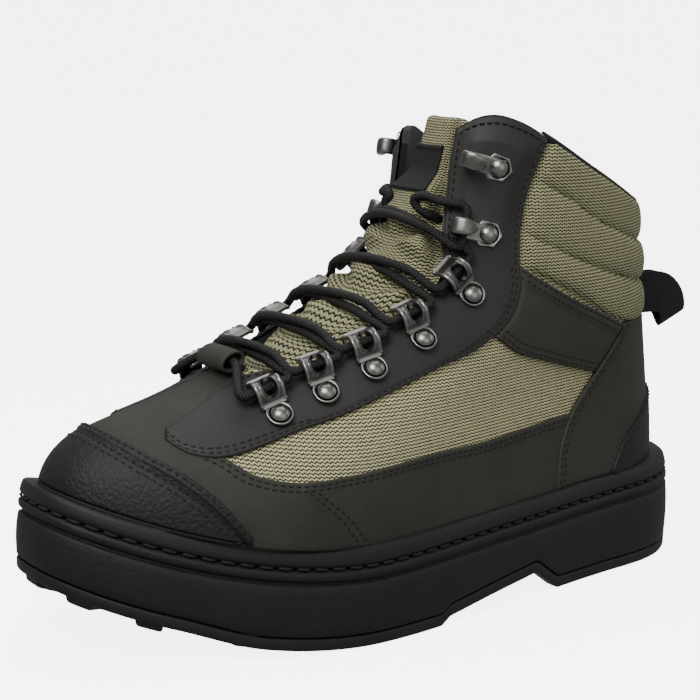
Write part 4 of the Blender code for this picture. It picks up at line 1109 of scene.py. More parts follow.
@dataclass
class Layer:
    """A piece that lies on the upper: its grid of places, its height and its edge."""

    form: UpperForm
    angles: Points
    shares: Points
    base: float
    thickness: float
    edge: float = 0.0009
    extra: Points | None = None

    def margins(self) -> tuple[Points, Points]:
        """Distances of each point from the ends along, and from the edges across."""
        points = self.form.surface(self.angles, self.shares)
        along = arc_lengths(points, 0)
        across = arc_lengths(points, 1)
        return (np.minimum(along, along[-1:] - along),
                np.minimum(across, across[:, -1:] - across))

    def build(self, shape: Shape) -> None:
        """Add the piece as a closed sheet whose rim is a quarter round.

        Args:
            shape: Shape that takes the piece.
        """
        along, across = self.margins()
        share = np.clip(np.minimum(along, across) / self.edge, 0, 1)
        height = self.base + self.thickness * (0.25 + 0.75 * np.sqrt(1 - (1 - share) ** 2))
        if self.extra is not None:
            height = height + self.extra
        over = self.form.offset(self.angles, self.shares, height)
        under = self.form.offset(self.angles, self.shares, np.full(height.shape, self.base))
        shape.sheet(over, under)

    def inset(self, side: str, distance: float, start: float = 0.0, end: float = 1.0) -> tuple:
        """Line inside an edge, with the normals along it.

        Args:
            side: The edge: low or high column, or first or last row.
            distance: How far inside the edge the line runs.
            start: Where it starts along the edge, from 0 to 1.
            end: Where it ends.

        Returns:
            Points of the line and their normals.
        """
        angles, shares = self.angles, self.shares
        if side in ("first", "last"):
            angles, shares = angles.T, shares.T
        if side in ("high", "last"):
            angles, shares = angles[:, ::-1], shares[:, ::-1]
        count = len(angles)
        keep = slice(int(start * (count - 1)), int(end * (count - 1)) + 1)
        angles, shares = angles[keep], shares[keep]
        run = arc_lengths(self.form.surface(angles, shares), 1)
        lines = [np.array([np.interp(distance, r, v) for r, v in zip(run, values)])
                 for values in (angles, shares)]
        height = self.base + self.thickness
        extra = 0.0
        if self.extra is not None:
            grid = self.extra.T if side in ("first", "last") else self.extra
            grid = grid[:, ::-1] if side in ("high", "last") else grid
            extra = np.array([np.interp(distance, r, v) for r, v in zip(run, grid[keep])])
        points = self.form.offset(lines[0], lines[1], np.full(len(lines[0]), height) + extra)
        return points, self.form.normal(lines[0], lines[1])


def side_name(side: int) -> str:
    """Name of a side: outer for 1, inner for -1."""
    return "outer" if side > 0 else "inner"


class Sole:
    """Outsole with its lugs, midsole, welt with its stitching, and insole."""

    lug_depth: float = 0.0045
    crown: float = 0.0018
    wall_top: float = 0.0256
    rib: float = 0.0060
    welt: float = 0.0074
    ledge: float = 0.0045
    rim_width: float = 0.0070
    gap: float = 0.0008
    insole_gap: float = -0.0032
    columns: int = 420
    corners: int = 24
    squareness: float = 0.16
    lug_profile = ((0.0019, 0.0), (0.0012, 0.0003), (0.0008, 0.0009), (0.0, 0.0057))
    toe_lug: tuple[float, float, float] = (0.0080, 0.0150, 0.0115)
    welt_stitch: tuple[float, float, float] = (0.0056, 0.0074, 0.00062)
    lugs = (
        (0.160, 0.00, 0.0300, 0.0130, 0), (0.090, 0.45, 0.0160, 0.0110, 24),
        (0.090, -0.45, 0.0160, 0.0110, -24), (0.215, 0.42, 0.0180, 0.0110, -24),
        (0.215, -0.42, 0.0180, 0.0110, 24), (0.272, 0.00, 0.0200, 0.0100, 0),
        (0.585, 0.00, 0.0300, 0.0140, 0), (0.560, 0.56, 0.0180, 0.0110, 24),
        (0.560, -0.56, 0.0180, 0.0110, -24), (0.640, 0.45, 0.0200, 0.0110, -24),
        (0.640, -0.45, 0.0200, 0.0110, 24), (0.690, 0.00, 0.0220, 0.0110, 0),
        (0.715, 0.50, 0.0200, 0.0110, -24), (0.715, -0.50, 0.0200, 0.0110, 24),
        (0.770, 0.00, 0.0240, 0.0110, 0), (0.800, 0.48, 0.0180, 0.0110, -20),
        (0.800, -0.48, 0.0180, 0.0110, 20), (0.870, 0.00, 0.0240, 0.0110, 0),
    )
    toe_lugs = (0.71, 0.806, 0.900, 1.0, 1.100, 1.194, 1.29)

    def __init__(self, sole: SoleForm, upper: UpperForm, paints: Paints) -> None:
        """Keep the forms and the paints.

        Args:
            sole: Form of the sole.
            upper: Form of the upper.
            paints: Maker of the materials.
        """
        self.form = sole
        self.upper = upper
        self.paints = paints
        self.angles = np.linspace(0, 2, self.columns + 1)[:-1]

    def ring(self, inset: float, height: Callable[[Points], Points]) -> Points:
        """Ring of the outline at an inset, with its height as a function of x."""
        flat = self.form.outline(self.angles, np.full(self.columns, inset))
        return np.concatenate([flat, height(flat[:, 0])[:, None]], -1)

    def foot_ring(self, distance: float, height: float) -> Points:
        """Ring round the upper's foot at a height, at a distance outside its surface."""
        share = np.full(self.columns, (height - MIDSOLE_FLOOR) / UPPER_HEIGHT)
        return self.upper.offset(self.angles, share, np.full(self.columns, distance))

    def lug(self, shape: Shape, centre: Points, across: Points, length: float,
            width: float) -> None:
        """Add one tapered block with rounded lower edges.

        Args:
            shape: Shape that takes the block.
            centre: Its middle, x and y.
            across: Direction of its length.
            length: Its length.
            width: Its width.
        """
        along = np.array([across[1], -across[0]])
        turns = 2 * np.pi * (np.arange(self.corners) + 0.5) / self.corners
        way = np.stack([np.sign(f) * np.abs(f) ** self.squareness
                        for f in (np.cos(turns), np.sin(turns))], -1)
        rings = []
        for taper, height in self.lug_profile:
            spot = (centre + way[:, :1] * across * (length / 2 - taper)
                    + way[:, 1:] * along * (width / 2 - taper))
            rings.append(np.column_stack([spot, self.form.tread(spot[:, 0]) + height]))
        shape.loft(np.array(rings))

    def build(self) -> None:
        """Build all pieces of the sole."""
        rubber = self.paints.get(RUBBER)
        tread, rim, top = self.form.tread, self.form.rim, self.form.band_top
        outsole = Shape()
        profile = (
            (self.rim_width + 0.0010, lambda x: tread(x) + self.lug_depth),
            (self.rim_width, lambda x: rim(x) + 0.0004), (self.rim_width - 0.0004, rim),
            (0.0012, rim), (0.0005, lambda x: rim(x) + 0.0002), (0.0001, lambda x: rim(x) + 0.0007),
            (0.0, lambda x: rim(x) + 0.0014), (0.0, lambda x: top(x) - 0.0009),
            (0.0003, lambda x: top(x) - 0.0003), (0.0010, top), (self.ledge, top),
            (self.ledge + 0.0010, lambda x: top(x) + self.crown),
        )
        outsole.loft(np.array([self.ring(inset, height) for inset, height in profile]))
        for station, sideways, length, width, turn in self.lugs:
            x = station * SOLE_LENGTH
            half = BALL_WIDTH * curve(OUTLINE, np.array(station), 1 if sideways >= 0 else 2)
            centre = np.array([x, self.form.centre(np.array(x)) + sideways * half])
            angle = math.radians(turn)
            self.lug(outsole, centre, np.array([math.sin(angle), math.cos(angle)]), length, width)
        inset, length, width = self.toe_lug
        for angle in self.toe_lugs:
            spot = self.form.outline(np.array(angle), inset)
            outward = unit(self.form.outline(np.array(angle), 0.0) - spot)
            self.lug(outsole, spot, outward, length, width)
        build_piece("outsole_rubber", outsole, [rubber], ["outsole"])
        self.build_midsole()
        self.build_welt(rubber)
        insole = Shape()
        gap = self.insole_gap
        insole.loft(np.array([
            self.foot_ring(gap - 0.0010, 0.0243), self.foot_ring(gap, 0.0253),
            self.foot_ring(gap, 0.0279), self.foot_ring(gap - 0.0008, 0.0285)]))
        build_piece("footbed", insole, [self.paints.get(LINING)], ["insole"])

    def wall_ring(self, part: float) -> Points:
        """Ring of the midsole's wall, which leans in by a slope and out by a half sine.

        Args:
            part: Share of the wall's height, from 0 to 1.

        Returns:
            Points of the ring.
        """
        bulge = 0.0005 * math.sin(math.pi * part)
        ring = self.ring(0.0006 * part - bulge, self.form.band_top)
        rise = self.form.bed(ring[:, 0], self.wall_top) - ring[:, 2]
        ring[:, 2] += 0.0010 + (rise - 0.0020) * part
        return ring

    def build_midsole(self) -> None:
        """Midsole: its wall with a soft bulge, a groove and the rib above it."""
        under, bed = self.form.band_top, self.form.bed
        low = self.wall_top
        high = self.wall_top + self.rib
        rings = [
            self.ring(self.ledge + 0.0007, lambda x: under(x) + 0.0021),
            self.ring(self.ledge - 0.0003, lambda x: under(x) + 0.0003),
            self.ring(0.0016, lambda x: under(x) + 0.0003),
            self.ring(0.0006, lambda x: under(x) + 0.0005),
        ]
        rings += [self.wall_ring(part) for part in np.linspace(0, 1, 7)]
        for inset, height in (
            (0.0009, low - 0.0005), (0.0016, low - 0.0001), (0.0024, low + 0.0003),
            (0.0026, low + 0.0009), (0.0018, low + 0.0013), (0.0011, low + 0.0019),
            (0.0008, low + 0.0027), (0.0008, high - 0.0021), (0.0012, high - 0.0013),
            (0.0019, high - 0.0007), (0.0026, high - 0.0003), (0.0032, high),
        ):
            rings.append(self.ring(inset, lambda x, h=height: bed(x, h)))
        rings += [self.foot_ring(self.gap, high), self.foot_ring(self.gap, MIDSOLE_FLOOR)]
        shape = Shape()
        shape.loft(np.array(rings))
        build_piece("midsole_wall", shape, [self.paints.get(FOAM)], ["midsole"])

    def build_welt(self, rubber: bpy.types.Material) -> None:
        """Welt: the band round the upper's foot, with thread in the groove under it.

        Args:
            rubber: Material of the welt.
        """
        bed = self.form.bed
        low = self.wall_top + self.rib + CLEARANCE
        top = low + self.welt
        rings = [self.foot_ring(self.gap, low)]
        for inset, height in (
            (0.0034, low), (0.0028, low + 0.0002), (0.0020, low + 0.0007), (0.0015, low + 0.0014),
            (0.0014, low + 0.0022), (0.0017, low + 0.0036), (0.0021, top - 0.0026),
            (0.0025, top - 0.0014), (0.0032, top - 0.0007),
        ):
            rings.append(self.ring(inset, lambda x, h=height: bed(x, h)))
        rings += [self.foot_ring(self.gap + 0.0020, top - 0.0001),
                  self.foot_ring(self.gap + 0.0010, top),
                  self.foot_ring(self.gap + 0.0002, top - 0.0003),
                  self.foot_ring(self.gap, top - 0.0010)]
        shape = Shape()
        shape.loft(np.array(rings), as_ring=True)
        build_piece("welt_band", shape, [rubber], ["welt"])
        line = self.ring(0.0019, lambda x: bed(x, low + 0.0001))
        line = np.concatenate([line, line[:1]])
        out = unit(line - self.ring(0.0060, lambda x: bed(x, low))[np.r_[0:self.columns, 0]])
        thread = Stitches()
        thread.row(line, out, *self.welt_stitch)
        build_piece("welt_stitches", thread.shape, [self.paints.get(THREAD)])


class OnUpper:
    """What each maker of pieces on the upper starts from."""

    def __init__(self, form: UpperForm, paints: Paints) -> None:
        """Keep the form and the paints.

        Args:
            form: Form of the upper.
            paints: Maker of the materials.
        """
        self.form = form
        self.paints = paints
        self.thread = Stitches()


class UpperParts(OnUpper):
    """The upper's shell with its padding and lining, and every leather piece on it."""

    cap_edge = ((0.716, 0.098), (0.735, 0.128), (0.761, 0.158), (0.795, 0.182), (0.866, 0.206),
                (0.930, 0.217), (1.000, 0.221))
    heel_panel = np.array(((0.092, 0.357), (0.185, 0.353), (0.243, 0.345), (0.324, 0.315),
                           (0.425, 0.266)))
    heel_counter = np.array(((0.092, 0.262), (0.168, 0.220), (0.212, 0.156), (0.250, 0.060)))
    eyestay = (
        (0.878, 0.242, 0.904, 0.262), (0.824, 0.228, 0.908, 0.285), (0.788, 0.237, 0.924, 0.325),
        (0.742, 0.305, 0.944, 0.362), (0.727, 0.318, 0.932, 0.378), (0.712, 0.331, 0, 0.393),
        (0.698, 0.344, 0, 0.405), (0.683, 0.357, 0, 0.420), (0.623, 0.405, 0, 0.470),
        (0.578, 0.434, 0, 0.520), (0.561, 0.472, 0, 0.560), (0.577, 0.532, 0, 0.600),
        (0.609, 0.590, 0, 0.650), (0.641, 0.679, 0, 0.720), (0.649, 0.740, 0, 0.780),
        (0.637, 0.800, 0, 0.835), (0.619, 0.858, 0, 0.878),
    )
    ankle_band = (
        (0.586, 0.462, 0.620, 0.598), (0.546, 0.440, 0.580, 0.575), (0.500, 0.410, 0.520, 0.545),
        (0.430, 0.377, 0.425, 0.500), (0.370, 0.349, 0.340, 0.460), (0.327, 0.330, 0.281, 0.430),
        (0.300, 0.319, 0.250, 0.417),
    )
    vamp_top = np.array((
        (0.300, 0.241), (0.359, 0.241), (0.471, 0.231), (0.554, 0.233), (0.640, 0.222),
        (0.694, 0.209), (0.740, 0.214), (0.790, 0.236), (0.824, 0.243), (0.876, 0.262),
        (0.900, 0.285), (0.915, 0.315), (0.932, 0.352), (0.950, 0.388), (1.000, 0.394),
    ))
    seams = (
        np.array(((0.0, 0.430), (0.266, 0.432), (0.429, 0.515), (0.599, 0.590), (0.70, 0.63))),
        np.array(((0.0, 0.498), (0.219, 0.517), (0.426, 0.576), (0.522, 0.615), (0.621, 0.659),
                  (0.70, 0.70))),
        np.array(((0.0, 0.592), (0.274, 0.619), (0.423, 0.671), (0.547, 0.736), (0.614, 0.765),
                  (0.70, 0.81))),
    )
    flap_edge = np.array((
        (0.434, 0.578), (0.472, 0.561), (0.532, 0.577), (0.590, 0.609), (0.679, 0.641),
        (0.740, 0.649), (0.800, 0.637), (0.858, 0.619)))
    wall: float = 0.0026
    collar_wall: float = 0.0075
    foot: float = 0.0840
    room: float = 0.30
    padding_start: float = 0.42
    padding_rise: float = 0.12
    padding_front: float = 0.66
    padding_fade: float = 0.10
    padding_round: float = 0.05
    puffs: tuple[float, float, float] = (0.0034, 0.0040, 0.0030)
    puff_fade: float = 0.032
    foot_rows: int = 71
    rows: int = 131
    columns: int = 301
    leather: float = 0.0012
    quilt_stitch: tuple[float, float, float] = (0.0034, 0.0041, 0.00060)
    cap_stitch: tuple[float, float] = (0.0024, 0.0033)
    tape: tuple[float, float] = (0.0024, 0.0022)
    vamp_foot: float = 0.070
    vamp_seam = np.array(((0.075, 0.611), (0.104, 0.623), (0.143, 0.643), (0.193, 0.686)))

    def wall_thickness(self, angles: Points, shares: Points) -> Points:
        """Thickness of the wall, padded round the collar and rounded off at its top.

        Args:
            angles: Angles round the foot, 0 at the back.
            shares: Shares of the upper's height.

        Returns:
            The thicknesses.
        """
        folded = self.form.folded(angles)
        high = np.clip((shares - self.padding_start) / self.padding_rise, 0, 1)
        back = np.clip((self.padding_front - folded) / self.padding_fade, 0, 1)
        left = (self.form.collar(angles) - shares) / self.padding_round
        rounded = np.clip(left, 0, 1) ** 0.5
        return self.wall + (self.collar_wall - self.wall) * (high * back) * rounded

    def quilting(self, angles: Points, shares: Points) -> Points:
        """Height of the collar's padding: a half round between each seam and the next.

        Args:
            angles: Angles round the foot, 0 at the back.
            shares: Shares of the upper's height.

        Returns:
            The heights.
        """
        folded = self.form.folded(angles)
        lines = [curve(table, folded) for table in self.seams] + [self.form.collar(angles)]
        height = np.zeros(angles.shape)
        for low, high, full in zip(lines, lines[1:], self.puffs):
            t = (shares - low) / (high - low)
            hump = np.sqrt(np.clip(1 - (2 * t - 1) ** 2, 0, 1))
            height = np.where((t > 0) & (t < 1), full * hump ** 0.8, height)
        front = curve(self.flap_edge, shares)
        return height * ease((front - 0.004 - folded) / self.puff_fade)

    def build_shell(self) -> None:
        """Shell: knit outside, plush inside, open at throat, collar and underneath."""
        form = self.form
        ends = float(form.collar(form.throat(np.array(COLLAR[-2][1]))))
        base = THROAT[0, 0] / ends
        rise = np.linspace(0, 1, self.rows)[1:]
        climb = np.concatenate([np.linspace(0, base, self.foot_rows),
                                base + (1 - base) * rise ** 1.25])
        turn = np.linspace(-1, 1, self.columns)
        edge = form.throat(climb * ends)
        edge[:self.foot_rows] = 1.0
        near = np.clip((np.abs(turn) - self.room) / (1 - self.room), 0, 1)
        angles = turn[None, :] - (1 - edge)[:, None] * (ease(near) * np.sign(turn))[None, :]
        late = THROAT[-2, 0] / ends
        shares = climb[:, None] * form.full_collar(angles[-1])[None, :]
        shares -= ease((climb - late) / (1 - late))[:, None] * form.drop(angles[-1])[None, :]
        shares = np.maximum(shares, 0.0016)
        over = form.offset(angles, shares, self.quilting(angles, shares))
        under = form.offset(angles, shares, -self.wall_thickness(angles, shares))
        under[0] = form.offset(angles[0], shares[0], np.full(len(turn), -self.wall))
        run = arc_lengths(form.surface(angles, shares), 1)
        back = self.columns // 2
        flat = np.stack([run - run[:, back:back + 1], form.level(shares)], -1)
        centre = (angles[:-1, :-1] + angles[1:, 1:]) / 2
        low = curve(self.seams[0], form.folded(centre)) - 0.01
        middle = (shares[:-1, :-1] + shares[1:, 1:]) / 2
        # Faces above the lowest quilt seam take slot 2, the darker copy of the knit whose colours
        # are painted shade.
        collar = (middle > low).astype(int) * 2
        flap = form.folded(centre) > curve(self.flap_edge, middle) + 0.02
        collar = np.where(flap & (middle > self.flap_edge[0, 0]), 3, collar)
        shape = Shape()
        shape.sheet(over, under, flat, (0, 1), collar)
        paints = [self.paints.get(finish)
                  for finish in (SIDE_KNIT, LINING, SHADED_KNIT, CHARCOAL)]
        shell = build_piece("upper_shell", shape, paints, ["upper"])
        for table in self.seams[1:]:
            along = np.linspace(-0.60, 0.60, 500)
            share = curve(table, np.abs(along))
            points = form.offset(along, share, np.full(500, 0.0002))
            self.thread.row(points, form.normal(along, share), *self.quilt_stitch)
        self.build_binding()

    def build_binding(self) -> None:
        """Binding: a soft tape folded over the collar's top from flap to flap."""
        along = np.linspace(-0.625, 0.625, 260)
        share = self.form.collar(along) - 0.003
        middle = self.form.offset(along, share, np.full(260, -0.0012))
        out = self.form.normal(along, share)
        up = np.broadcast_to(np.array([0.0, 0.0, 1.0]), out.shape)
        turns = 2 * np.pi * np.arange(14) / 14
        ring = (out[:, None] * np.cos(turns)[None, :, None] * self.tape[0]
                + up[:, None] * np.sin(turns)[None, :, None] * self.tape[1])
        shape = Shape()
        shape.loft(middle[:, None] + ring)
        build_piece("collar_binding", shape, [self.paints.get(BINDING)])

    def build_vamp(self) -> None:
        """Vamp and lower quarter: the leather round the foot from heel panel to keeper."""
        half = np.linspace(0.335, 1.0, 190)
        angles = np.concatenate([half, (2 - half[:-1])[::-1]])
        top = curve(self.vamp_top, self.form.folded(angles))
        rise = crowded(46)
        shares = self.vamp_foot + (top[:, None] - self.vamp_foot) * rise[None, :]
        angles = np.broadcast_to(angles[:, None], shares.shape)
        folded = self.form.folded(angles)
        past = (curve(self.vamp_seam, shares) - folded) * 0.3
        step = 0.00055 * ease(past / 0.0009 + 0.5)
        layer = Layer(self.form, angles, shares, 0.0002, 0.0009, extra=step)
        shape = Shape()
        layer.build(shape)
        build_piece("vamp", shape, [self.paints.get(OLIVE)])
        for distance in (0.0020, 0.0042):
            for start, end in ((0.0, 0.36), (0.64, 1.0)):
                self.thread.row(*layer.inset("high", distance, start, end))
        share = np.linspace(0.075, 0.198, 60)
        for side in (1, -1):
            for shift in (0.008, 0.017):
                at = curve(self.vamp_seam, share) - shift
                at = at if side > 0 else 2 - at
                points = self.form.offset(at, share, np.full(60, 0.00165))
                self.thread.row(points, self.form.normal(at, share))

    def build_cap(self) -> None:
        """Toe cap: pebbled leather with a raised strip along its stitched edge."""
        half = np.linspace(self.cap_edge[0][0], 1, 110)
        angles = np.concatenate([half, (2 - half[:-1])[::-1]])
        top = curve(np.array(self.cap_edge), self.form.folded(angles))
        rise = 1 - (1 - np.linspace(0, 1, 60)) ** 1.5
        shares = self.foot + (top[:, None] - self.foot) * rise[None, :]
        angles = np.broadcast_to(angles[:, None], shares.shape)
        layer = Layer(self.form, angles, shares, 0.0010, 0.0011)
        across = arc_lengths(self.form.surface(angles, shares), 1)
        inside = across[:, -1:] - across
        layer.extra = 0.0006 * (1 - ease((inside - 0.0030) / 0.0010))
        layer.extra -= 0.0004 * np.exp(-((inside - 0.0052) / 0.0007) ** 2)
        shape = Shape()
        layer.build(shape)
        build_piece("toe_cap_leather", shape, [self.paints.get(PEBBLED)],
                    ["toe_cap"])
        for distance in (0.0015, 0.0052, 0.0076):
            self.thread.row(*layer.inset("high", distance), *self.cap_stitch)

    def build_heel(self) -> None:
        """Heel panel round the back, with the textured counter on it."""
        for name, table, finish, slot, base, edge in (
            ("heel_panel", self.heel_panel, OLIVE, "olive_leather", 0.0008, 0.0009),
            ("heel_counter", self.heel_counter, PEBBLED, "black_leather", 0.0020, 0.0012),
        ):
            first = self.foot - 0.009
            shares = first + (table[-1, 0] - first) * (1 - (1 - np.linspace(0, 1, 60)) ** 1.4)
            half = curve(table, shares)
            angles = half[:, None] * (2 * crowded(121) - 1)
            shares = np.broadcast_to(shares[:, None], angles.shape)
            layer = Layer(self.form, angles, shares, base, self.leather, edge)
            if name == "heel_panel":
                margin = layer.margins()[1]
                layer.extra = 0.0005 * (1 - ease((margin - 0.0048) / 0.0010))
            shape = Shape()
            layer.build(shape)
            build_piece(name + "_leather", shape, [self.paints.get(finish)], [name])
            rows = (0.0014, 0.0038) if name == "heel_panel" else (0.0018,)
            for distance in rows:
                for side in ("low", "high"):
                    self.thread.row(*layer.inset(side, distance))
            if name == "heel_counter":
                self.thread.row(*layer.inset("last", 0.0018))

    def build_eyestay(self, side: int) -> None:
        """Eyestay of one side, puffed round the hooks and pressed in along its edge.

        Args:
            side: 1 for the outer side, -1 for the inner.
        """
        rows = np.array(self.eyestay)
        follows = rows[:, 2] == 0
        rows[follows, 2] = self.form.angle_at(
            rows[follows, 3], self.form.half_gap(rows[follows, 3]) + 0.0008)
        lines = trace(rows, 210)
        across = crowded(40)
        angles = lines[:, 0:1] + (lines[:, 2:3] - lines[:, 0:1]) * across
        shares = lines[:, 1:2] + (lines[:, 3:4] - lines[:, 1:2]) * across
        angles = angles if side > 0 else 2 - angles
        limit = self.form.collar(angles) - 0.0008 / UPPER_HEIGHT
        late = ease((np.linspace(0, 1, 210) - 0.86) / 0.14)[:, None]
        shares = np.minimum(shares - late * self.form.drop(angles), limit)
        shares[-1] = limit[-1]
        layer = Layer(self.form, angles, shares, 0.0009, self.leather, 0.0018)
        ends, margin = layer.margins()
        soft = ease((shares - 0.56) / 0.12) * ease((margin - 0.0035) / 0.006)
        layer.extra = 0.0018 * soft * ease((ends - 0.004) / 0.006)
        layer.extra = layer.extra - 0.00035 * np.exp(-((margin - 0.0022) / 0.0007) ** 2)
        shape = Shape()
        layer.build(shape)
        name = f"eyestay_{side_name(side)}"
        build_piece(name + "_leather", shape, [self.paints.get(CHARCOAL)],
                    [name])
        for place in (("low", 0.0020), ("low", 0.0042, 0.0, 0.22), ("low", 0.0042, 0.48, 0.70),
                      ("high", 0.0020, 0.20, 0.98), ("last", 0.0022, 0.06, 0.94)):
            self.thread.row(*layer.inset(*place))

    def build_band(self, side: int) -> None:
        """Ankle band of one side, hemmed along its top and thinned under its neighbours.

        Args:
            side: 1 for the outer side, -1 for the inner.
        """
        lines = trace(self.ankle_band, 120)
        angles = lines[:, 0:1] + (lines[:, 2:3] - lines[:, 0:1]) * crowded(50)
        shares = lines[:, 1:2] + (lines[:, 3:4] - lines[:, 1:2]) * crowded(50)
        ahead = (angles - curve(self.flap_edge, shares)) * GIRTH
        behind = (curve(self.heel_panel, shares) - angles) * GIRTH
        under = ease((np.maximum(ahead, behind) + 0.0026) / 0.0022)
        angles = angles if side > 0 else 2 - angles
        layer = Layer(self.form, angles, shares, 0.0008, self.leather)
        run = arc_lengths(self.form.surface(angles, shares), 1)
        below = run[:, -1:] - run
        layer.extra = 0.0006 * (1 - ease((below - 0.0052) / 0.0010)) * (1 - under)
        layer.extra = layer.extra - 0.0008 * under
        shape = Shape()
        layer.build(shape)
        name = f"ankle_band_{side_name(side)}"
        build_piece(name + "_leather", shape, [self.paints.get(OLIVE)], [name])
        for distance in (0.0014, 0.0040):
            self.thread.row(*layer.inset("high", distance))
            self.thread.row(*layer.inset("low", distance + 0.0006))

    def build(self) -> None:
        """Build all pieces of the upper."""
        self.build_shell()
        self.build_vamp()
        self.build_cap()
        self.build_heel()
        for side in (1, -1):
            self.build_eyestay(side)
            self.build_band(side)
        build_piece("upper_stitches", self.thread.shape, [self.paints.get(THREAD)])


class Tongue(OnUpper):
    """Padded tongue with its puffs between the lace's crossings, and its plain label."""

    thickness: float = 0.0050
    half_width: float = 0.0290
    underlap: float = 0.0022
    recess: float = 0.0080
    lean: float = 0.660
    bottom: float = 0.285
    top: float = 0.905
    wall: float = 0.0026
    tunnels: tuple[float, ...] = (0.359, 0.405, 0.445, 0.493, 0.574, 0.698)
    puff: float = 0.0058
    narrowest: float = 0.009
    shoulder: float = 0.0040
    round_edge: float = 0.0022
    knit_stretch: float = 1.35
    label_span: tuple[float, float] = (0.743, 0.847)
    label_half: float = 0.00972
    label_stitch: tuple[float, float, float] = (0.0016, 0.0021, 0.00025)

    def surface(self, share: Points, sideways: Points, depth: Points | float) -> Points:
        """Points of the tongue at a depth under its upper face.

        Args:
            share: Shares of the upper's height.
            sideways: Distances from the middle line.
            depth: Depth under the upper face.

        Returns:
            The points.
        """
        gap = np.maximum(self.form.half_gap(share), self.narrowest)
        rise = ease((gap - self.underlap - np.abs(sideways)) / self.shoulder)
        raised = ease((share - 0.425) / 0.035)
        recess = self.recess * np.clip((share - self.lean) / (self.top - self.lean), 0, 1)
        low = -(self.wall + 2 * CLEARANCE)
        height = low * (1 - rise * raised) - 0.0006 * rise - recess
        away = np.full(share.shape, 1.0)
        across = (gap - sideways) / (2 * gap)
        for low_end, high_end in zip(self.tunnels, self.tunnels[1:]):
            lean = math.atan((high_end - low_end) * UPPER_HEIGHT / 0.030)
            for part in (across, 1 - across):
                line = low_end + (high_end - low_end) * part
                away = np.minimum(away, np.abs(share - line) * 0.24 * math.cos(lean))
        puff = self.puff * ease((away - 0.0008) / 0.0062) * ease((0.80 - share) / 0.06)
        puff = puff * ease((gap - 0.0010 - np.abs(sideways)) / 0.0050) * raised
        height = height + np.where(np.asarray(depth) <= 0, puff, 0) - depth
        return self.form.offset(self.form.angle_at(share, sideways), share, height)

    def build(self) -> None:
        """Build the tongue and its label."""
        shares = np.linspace(self.bottom, self.top, 190)
        gap = np.maximum(self.form.half_gap(shares), self.narrowest)
        outer = np.stack([
            np.maximum(gap + 0.003, self.half_width), gap + self.underlap,
            gap - self.underlap, gap - self.underlap - self.shoulder,
            0.35 * (gap - self.underlap - self.shoulder)], -1)
        knots = np.concatenate([-outer, outer[:, ::-1]], -1)
        place = np.linspace(0, 9, 82)
        k = np.minimum(place.astype(int), 8)
        sideways = knots[:, k] + (knots[:, k + 1] - knots[:, k]) * (place - k)
        grid = np.broadcast_to(shares[:, None], sideways.shape).copy()
        corner = np.clip((np.abs(sideways) - 0.010) / 0.019, 0, 1) ** 2
        grid -= 0.045 * corner * ease((grid - 0.80) / 0.105)
        edge = np.minimum(np.minimum(place, 9 - place)[None, :] * 0.0025,
                          (self.top - shares)[:, None] * UPPER_HEIGHT)
        inside = np.clip(edge / self.round_edge, 0, 1)
        round_off = self.round_edge * (1 - np.sqrt(1 - (1 - inside) ** 2))
        over = self.surface(grid, sideways, 0.0)
        under = self.surface(grid, sideways, np.full(grid.shape, self.thickness))
        blend = (round_off / self.thickness)[..., None]
        over, under = over + (under - over) * blend, under + (over - under) * blend
        shape = Shape()
        flat = np.stack([sideways, self.form.level(grid) * self.knit_stretch], -1)
        shape.sheet(over, under, flat, (0, 1))
        # The tongue's outer face takes the darker copy of the knit, whose colours are painted
        # shade.
        knit = self.paints.get(SHADED_KNIT)
        tongue = build_piece("tongue_pad", shape, [knit, self.paints.get(LINING)],
                             ["tongue"])
        self.build_label()

    def build_label(self) -> None:
        """Plain label with folded ends, stitched to the tongue."""
        low, high = self.label_span
        rows = np.linspace(low, high, 60)
        columns = np.linspace(-self.label_half, self.label_half, 36)
        grid, sideways = np.meshgrid(rows, columns, indexing="ij")
        fold = np.minimum(grid - low, high - grid) * UPPER_HEIGHT
        lift = 0.0013 + 0.0006 * (1 - ease((fold - 0.0016) / 0.0008))
        lift = lift - 0.0007 * (1 - np.clip(fold / 0.0005, 0, 1))
        over = self.surface(grid, sideways, -lift)
        under = self.surface(grid, sideways, np.full(grid.shape, -0.0002))
        label = Shape()
        flat = np.stack([sideways, self.form.level(grid) * self.knit_stretch], -1)
        label.sheet(over, under, flat)
        build_piece("tongue_label_cloth", label, [self.paints.get(LABEL)],
                    ["tongue_label"])
        thread = Stitches()
        for share in (0.7475, 0.8425):
            across = np.linspace(-0.0085, 0.0085, 30)
            line = np.full(30, share)
            points = self.surface(line, across, np.full(30, -0.0019))
            thread.row(points, self.form.normal(self.form.angle_at(line, across), line),
                       *self.label_stitch)
        build_piece("label_stitches", thread.shape, [self.paints.get(THREAD)])


def moved(points: Points, matrix: Matrix) -> Points:
    """Points of a holder's own frame, moved onto the boot."""
    table = np.array(matrix)
    return points @ table[:3, :3].T + table[:3, 3]


